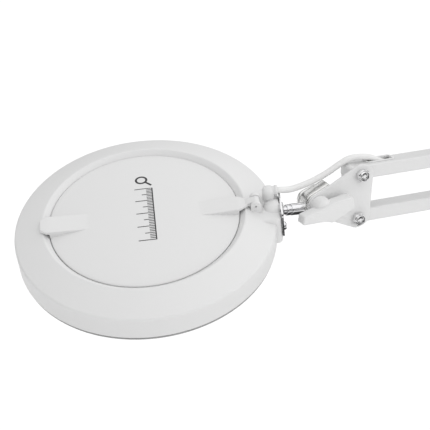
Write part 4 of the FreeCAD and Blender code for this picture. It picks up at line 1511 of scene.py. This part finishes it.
@dataclass
class Studio:
    """Camera, floor and soft light."""

    azimuth: float = 27.23
    elevation: float = 23.11
    eye: Vector = Vector((-1.1005, -1.3690, 1.2029))
    lens: float = 167.4
    sensor: float = 36.0
    clip_end: float = 100.0
    floor_size: float = 14.0
    floor_grey: Corner = (0.97, 0.97, 0.97)
    rings_reach: float = 6.0
    floor_rings: tuple[tuple[float, float], ...] = (
        (0.0, 0.04), (0.14, 0.06), (0.2, 0.95), (0.42, 0.95), (0.5, 0.03))
    sky: float = 1.0
    brighter_side: Corner = (0.78, -0.35, 0.3)
    sky_cards: tuple[tuple[float, float], ...] = (
        (0.0, 0.25), (0.03, 0.03), (0.34, 0.03), (0.46, 1.0), (1.0, 1.2))

    @staticmethod
    def glossy(tree: NodeTree) -> Socket:
        """Adds what is one for reflected light and nought for the rest."""
        return tree.nodes.new("ShaderNodeLightPath").outputs["Is Glossy Ray"]

    def camera(self) -> None:
        """Makes the camera, level and without shift."""
        data = bpy.data.cameras.new("camera")
        data.lens = self.lens
        data.sensor_width = self.sensor
        data.clip_end = self.clip_end
        camera = bpy.data.objects.new("camera", data)
        turn, tip = math.radians(self.azimuth), math.radians(self.elevation)
        look = Vector((math.sin(turn) * math.cos(tip), math.cos(turn) * math.cos(tip), -math.sin(tip)))
        camera.location = self.eye
        camera.rotation_mode = "QUATERNION"
        camera.rotation_quaternion = look.to_track_quat("-Z", "Y")
        bpy.context.scene.collection.objects.link(camera)
        bpy.context.scene.camera = camera

    def floor(self, height: float) -> None:
        """Makes a plain pale floor.

        Args:
            height: Its height in metres.
        """
        bm = bmesh.new()
        bmesh.ops.create_grid(bm, x_segments=2, y_segments=2, size=self.floor_size / 2,
                              matrix=Matrix.Translation((0, 0, height)))
        mesh = bpy.data.meshes.new("floor")
        bm.to_mesh(mesh)
        bm.free()
        floor = bpy.data.objects.new("floor", mesh)
        bpy.context.scene.collection.objects.link(floor)
        material = bpy.data.materials.new("floor_paper")
        material.use_nodes = True
        tree = material.node_tree
        far = add(tree, "ShaderNodeVectorMath", {0: coordinates(tree)}, operation="LENGTH").outputs["Value"]
        rings = grey_ramp(tree, maths(tree, "DIVIDE", far, self.rings_reach), self.floor_rings)
        seen = add(tree, "ShaderNodeMix", {
            "A": (*self.floor_grey, 1), "B": rings, "Factor": self.glossy(tree)}, data_type="RGBA")
        looks = {"Base Color": seen.outputs["Result"], "Roughness": 0.9, "Specular IOR Level": 0.0}
        for label, value in looks.items():
            feed(tree, tree.nodes["Principled BSDF"].inputs[label], value)
        mesh.materials.append(material)
        floor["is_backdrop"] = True

    def world(self) -> None:
        """Soft light that is a little stronger from the right, with dark cards for metal to reflect."""
        world = bpy.data.worlds.new("studio")
        bpy.context.scene.world = world
        world.use_nodes = True
        tree = world.node_tree
        where = coordinates(tree, "Generated")
        lean = add(tree, "ShaderNodeVectorMath", {0: where, 1: self.brighter_side}, operation="DOT_PRODUCT")
        soft = maths(tree, "MULTIPLY_ADD", lean.outputs["Value"], 0.5, self.sky)
        height = add(tree, "ShaderNodeSeparateXYZ", {0: where}).outputs["Z"]
        choose = add(tree, "ShaderNodeMix", {
            "Factor": self.glossy(tree), "A": soft, "B": grey_ramp(tree, height, self.sky_cards)})
        background = tree.nodes["Background"]
        feed(tree, background.inputs["Color"], (1, 1, 1, 1))
        feed(tree, background.inputs["Strength"], choose.outputs["Result"])

    def build(self, height: float) -> None:
        """Sets up the studio.

        Args:
            height: The floor's height in metres.
        """
        bpy.context.scene.view_settings.view_transform = "Standard"
        self.camera()
        self.floor(height)
        self.world()


def main() -> None:
    """Builds the lamp's looks in order, with the floor under the lowest point of the parts."""
    logging.basicConfig(level=logging.INFO, format="%(message)s")
    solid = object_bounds()
    Studio().build(solid[0].z)
    shop = Workshop()
    shop.dress_nodes()
    for assembly in (HeadShell, LensCover, BallJoint, Knuckle, WingKnob):
        assembly(shop).build()
    for bolts, nuts, body, centres in (
            ("head_pivot_bolts", "head_lock_nuts", "head_bracket", (LAYOUT.head_top, LAYOUT.head_low)),
            ("elbow_bolts", "elbow_lock_nuts", "elbow",
             (LAYOUT.elbow_a, LAYOUT.elbow_b, LAYOUT.elbow_low, LAYOUT.elbow_top)),
            ("base_bolts", "base_lock_nuts", "post", (LAYOUT.base_a, LAYOUT.base_b))):
        PivotFixings(shop, bolts, nuts, body, centres).build()
    for bar, body, start, angle in (
            ("upper_top_bar", "upper_top", LAYOUT.head_top, LAYOUT.upper_angle),
            ("upper_bottom_bar", "upper_bottom", LAYOUT.head_low, LAYOUT.upper_angle),
            ("lower_front_bar", "lower_front", LAYOUT.base_a, LAYOUT.lower_angle),
            ("lower_rear_bar", "lower_rear", LAYOUT.base_b, LAYOUT.lower_angle)):
        EndCaps(shop, bar, body, start, angle).build()
    for soft in SOFT_EDGES:
        shop.soften(soft.node, soft.body, soft.slot, soft.width, soft.segments)
    ClampScrew(shop).build()
    Leads(shop).build()


if __name__ == "__main__":
    main()
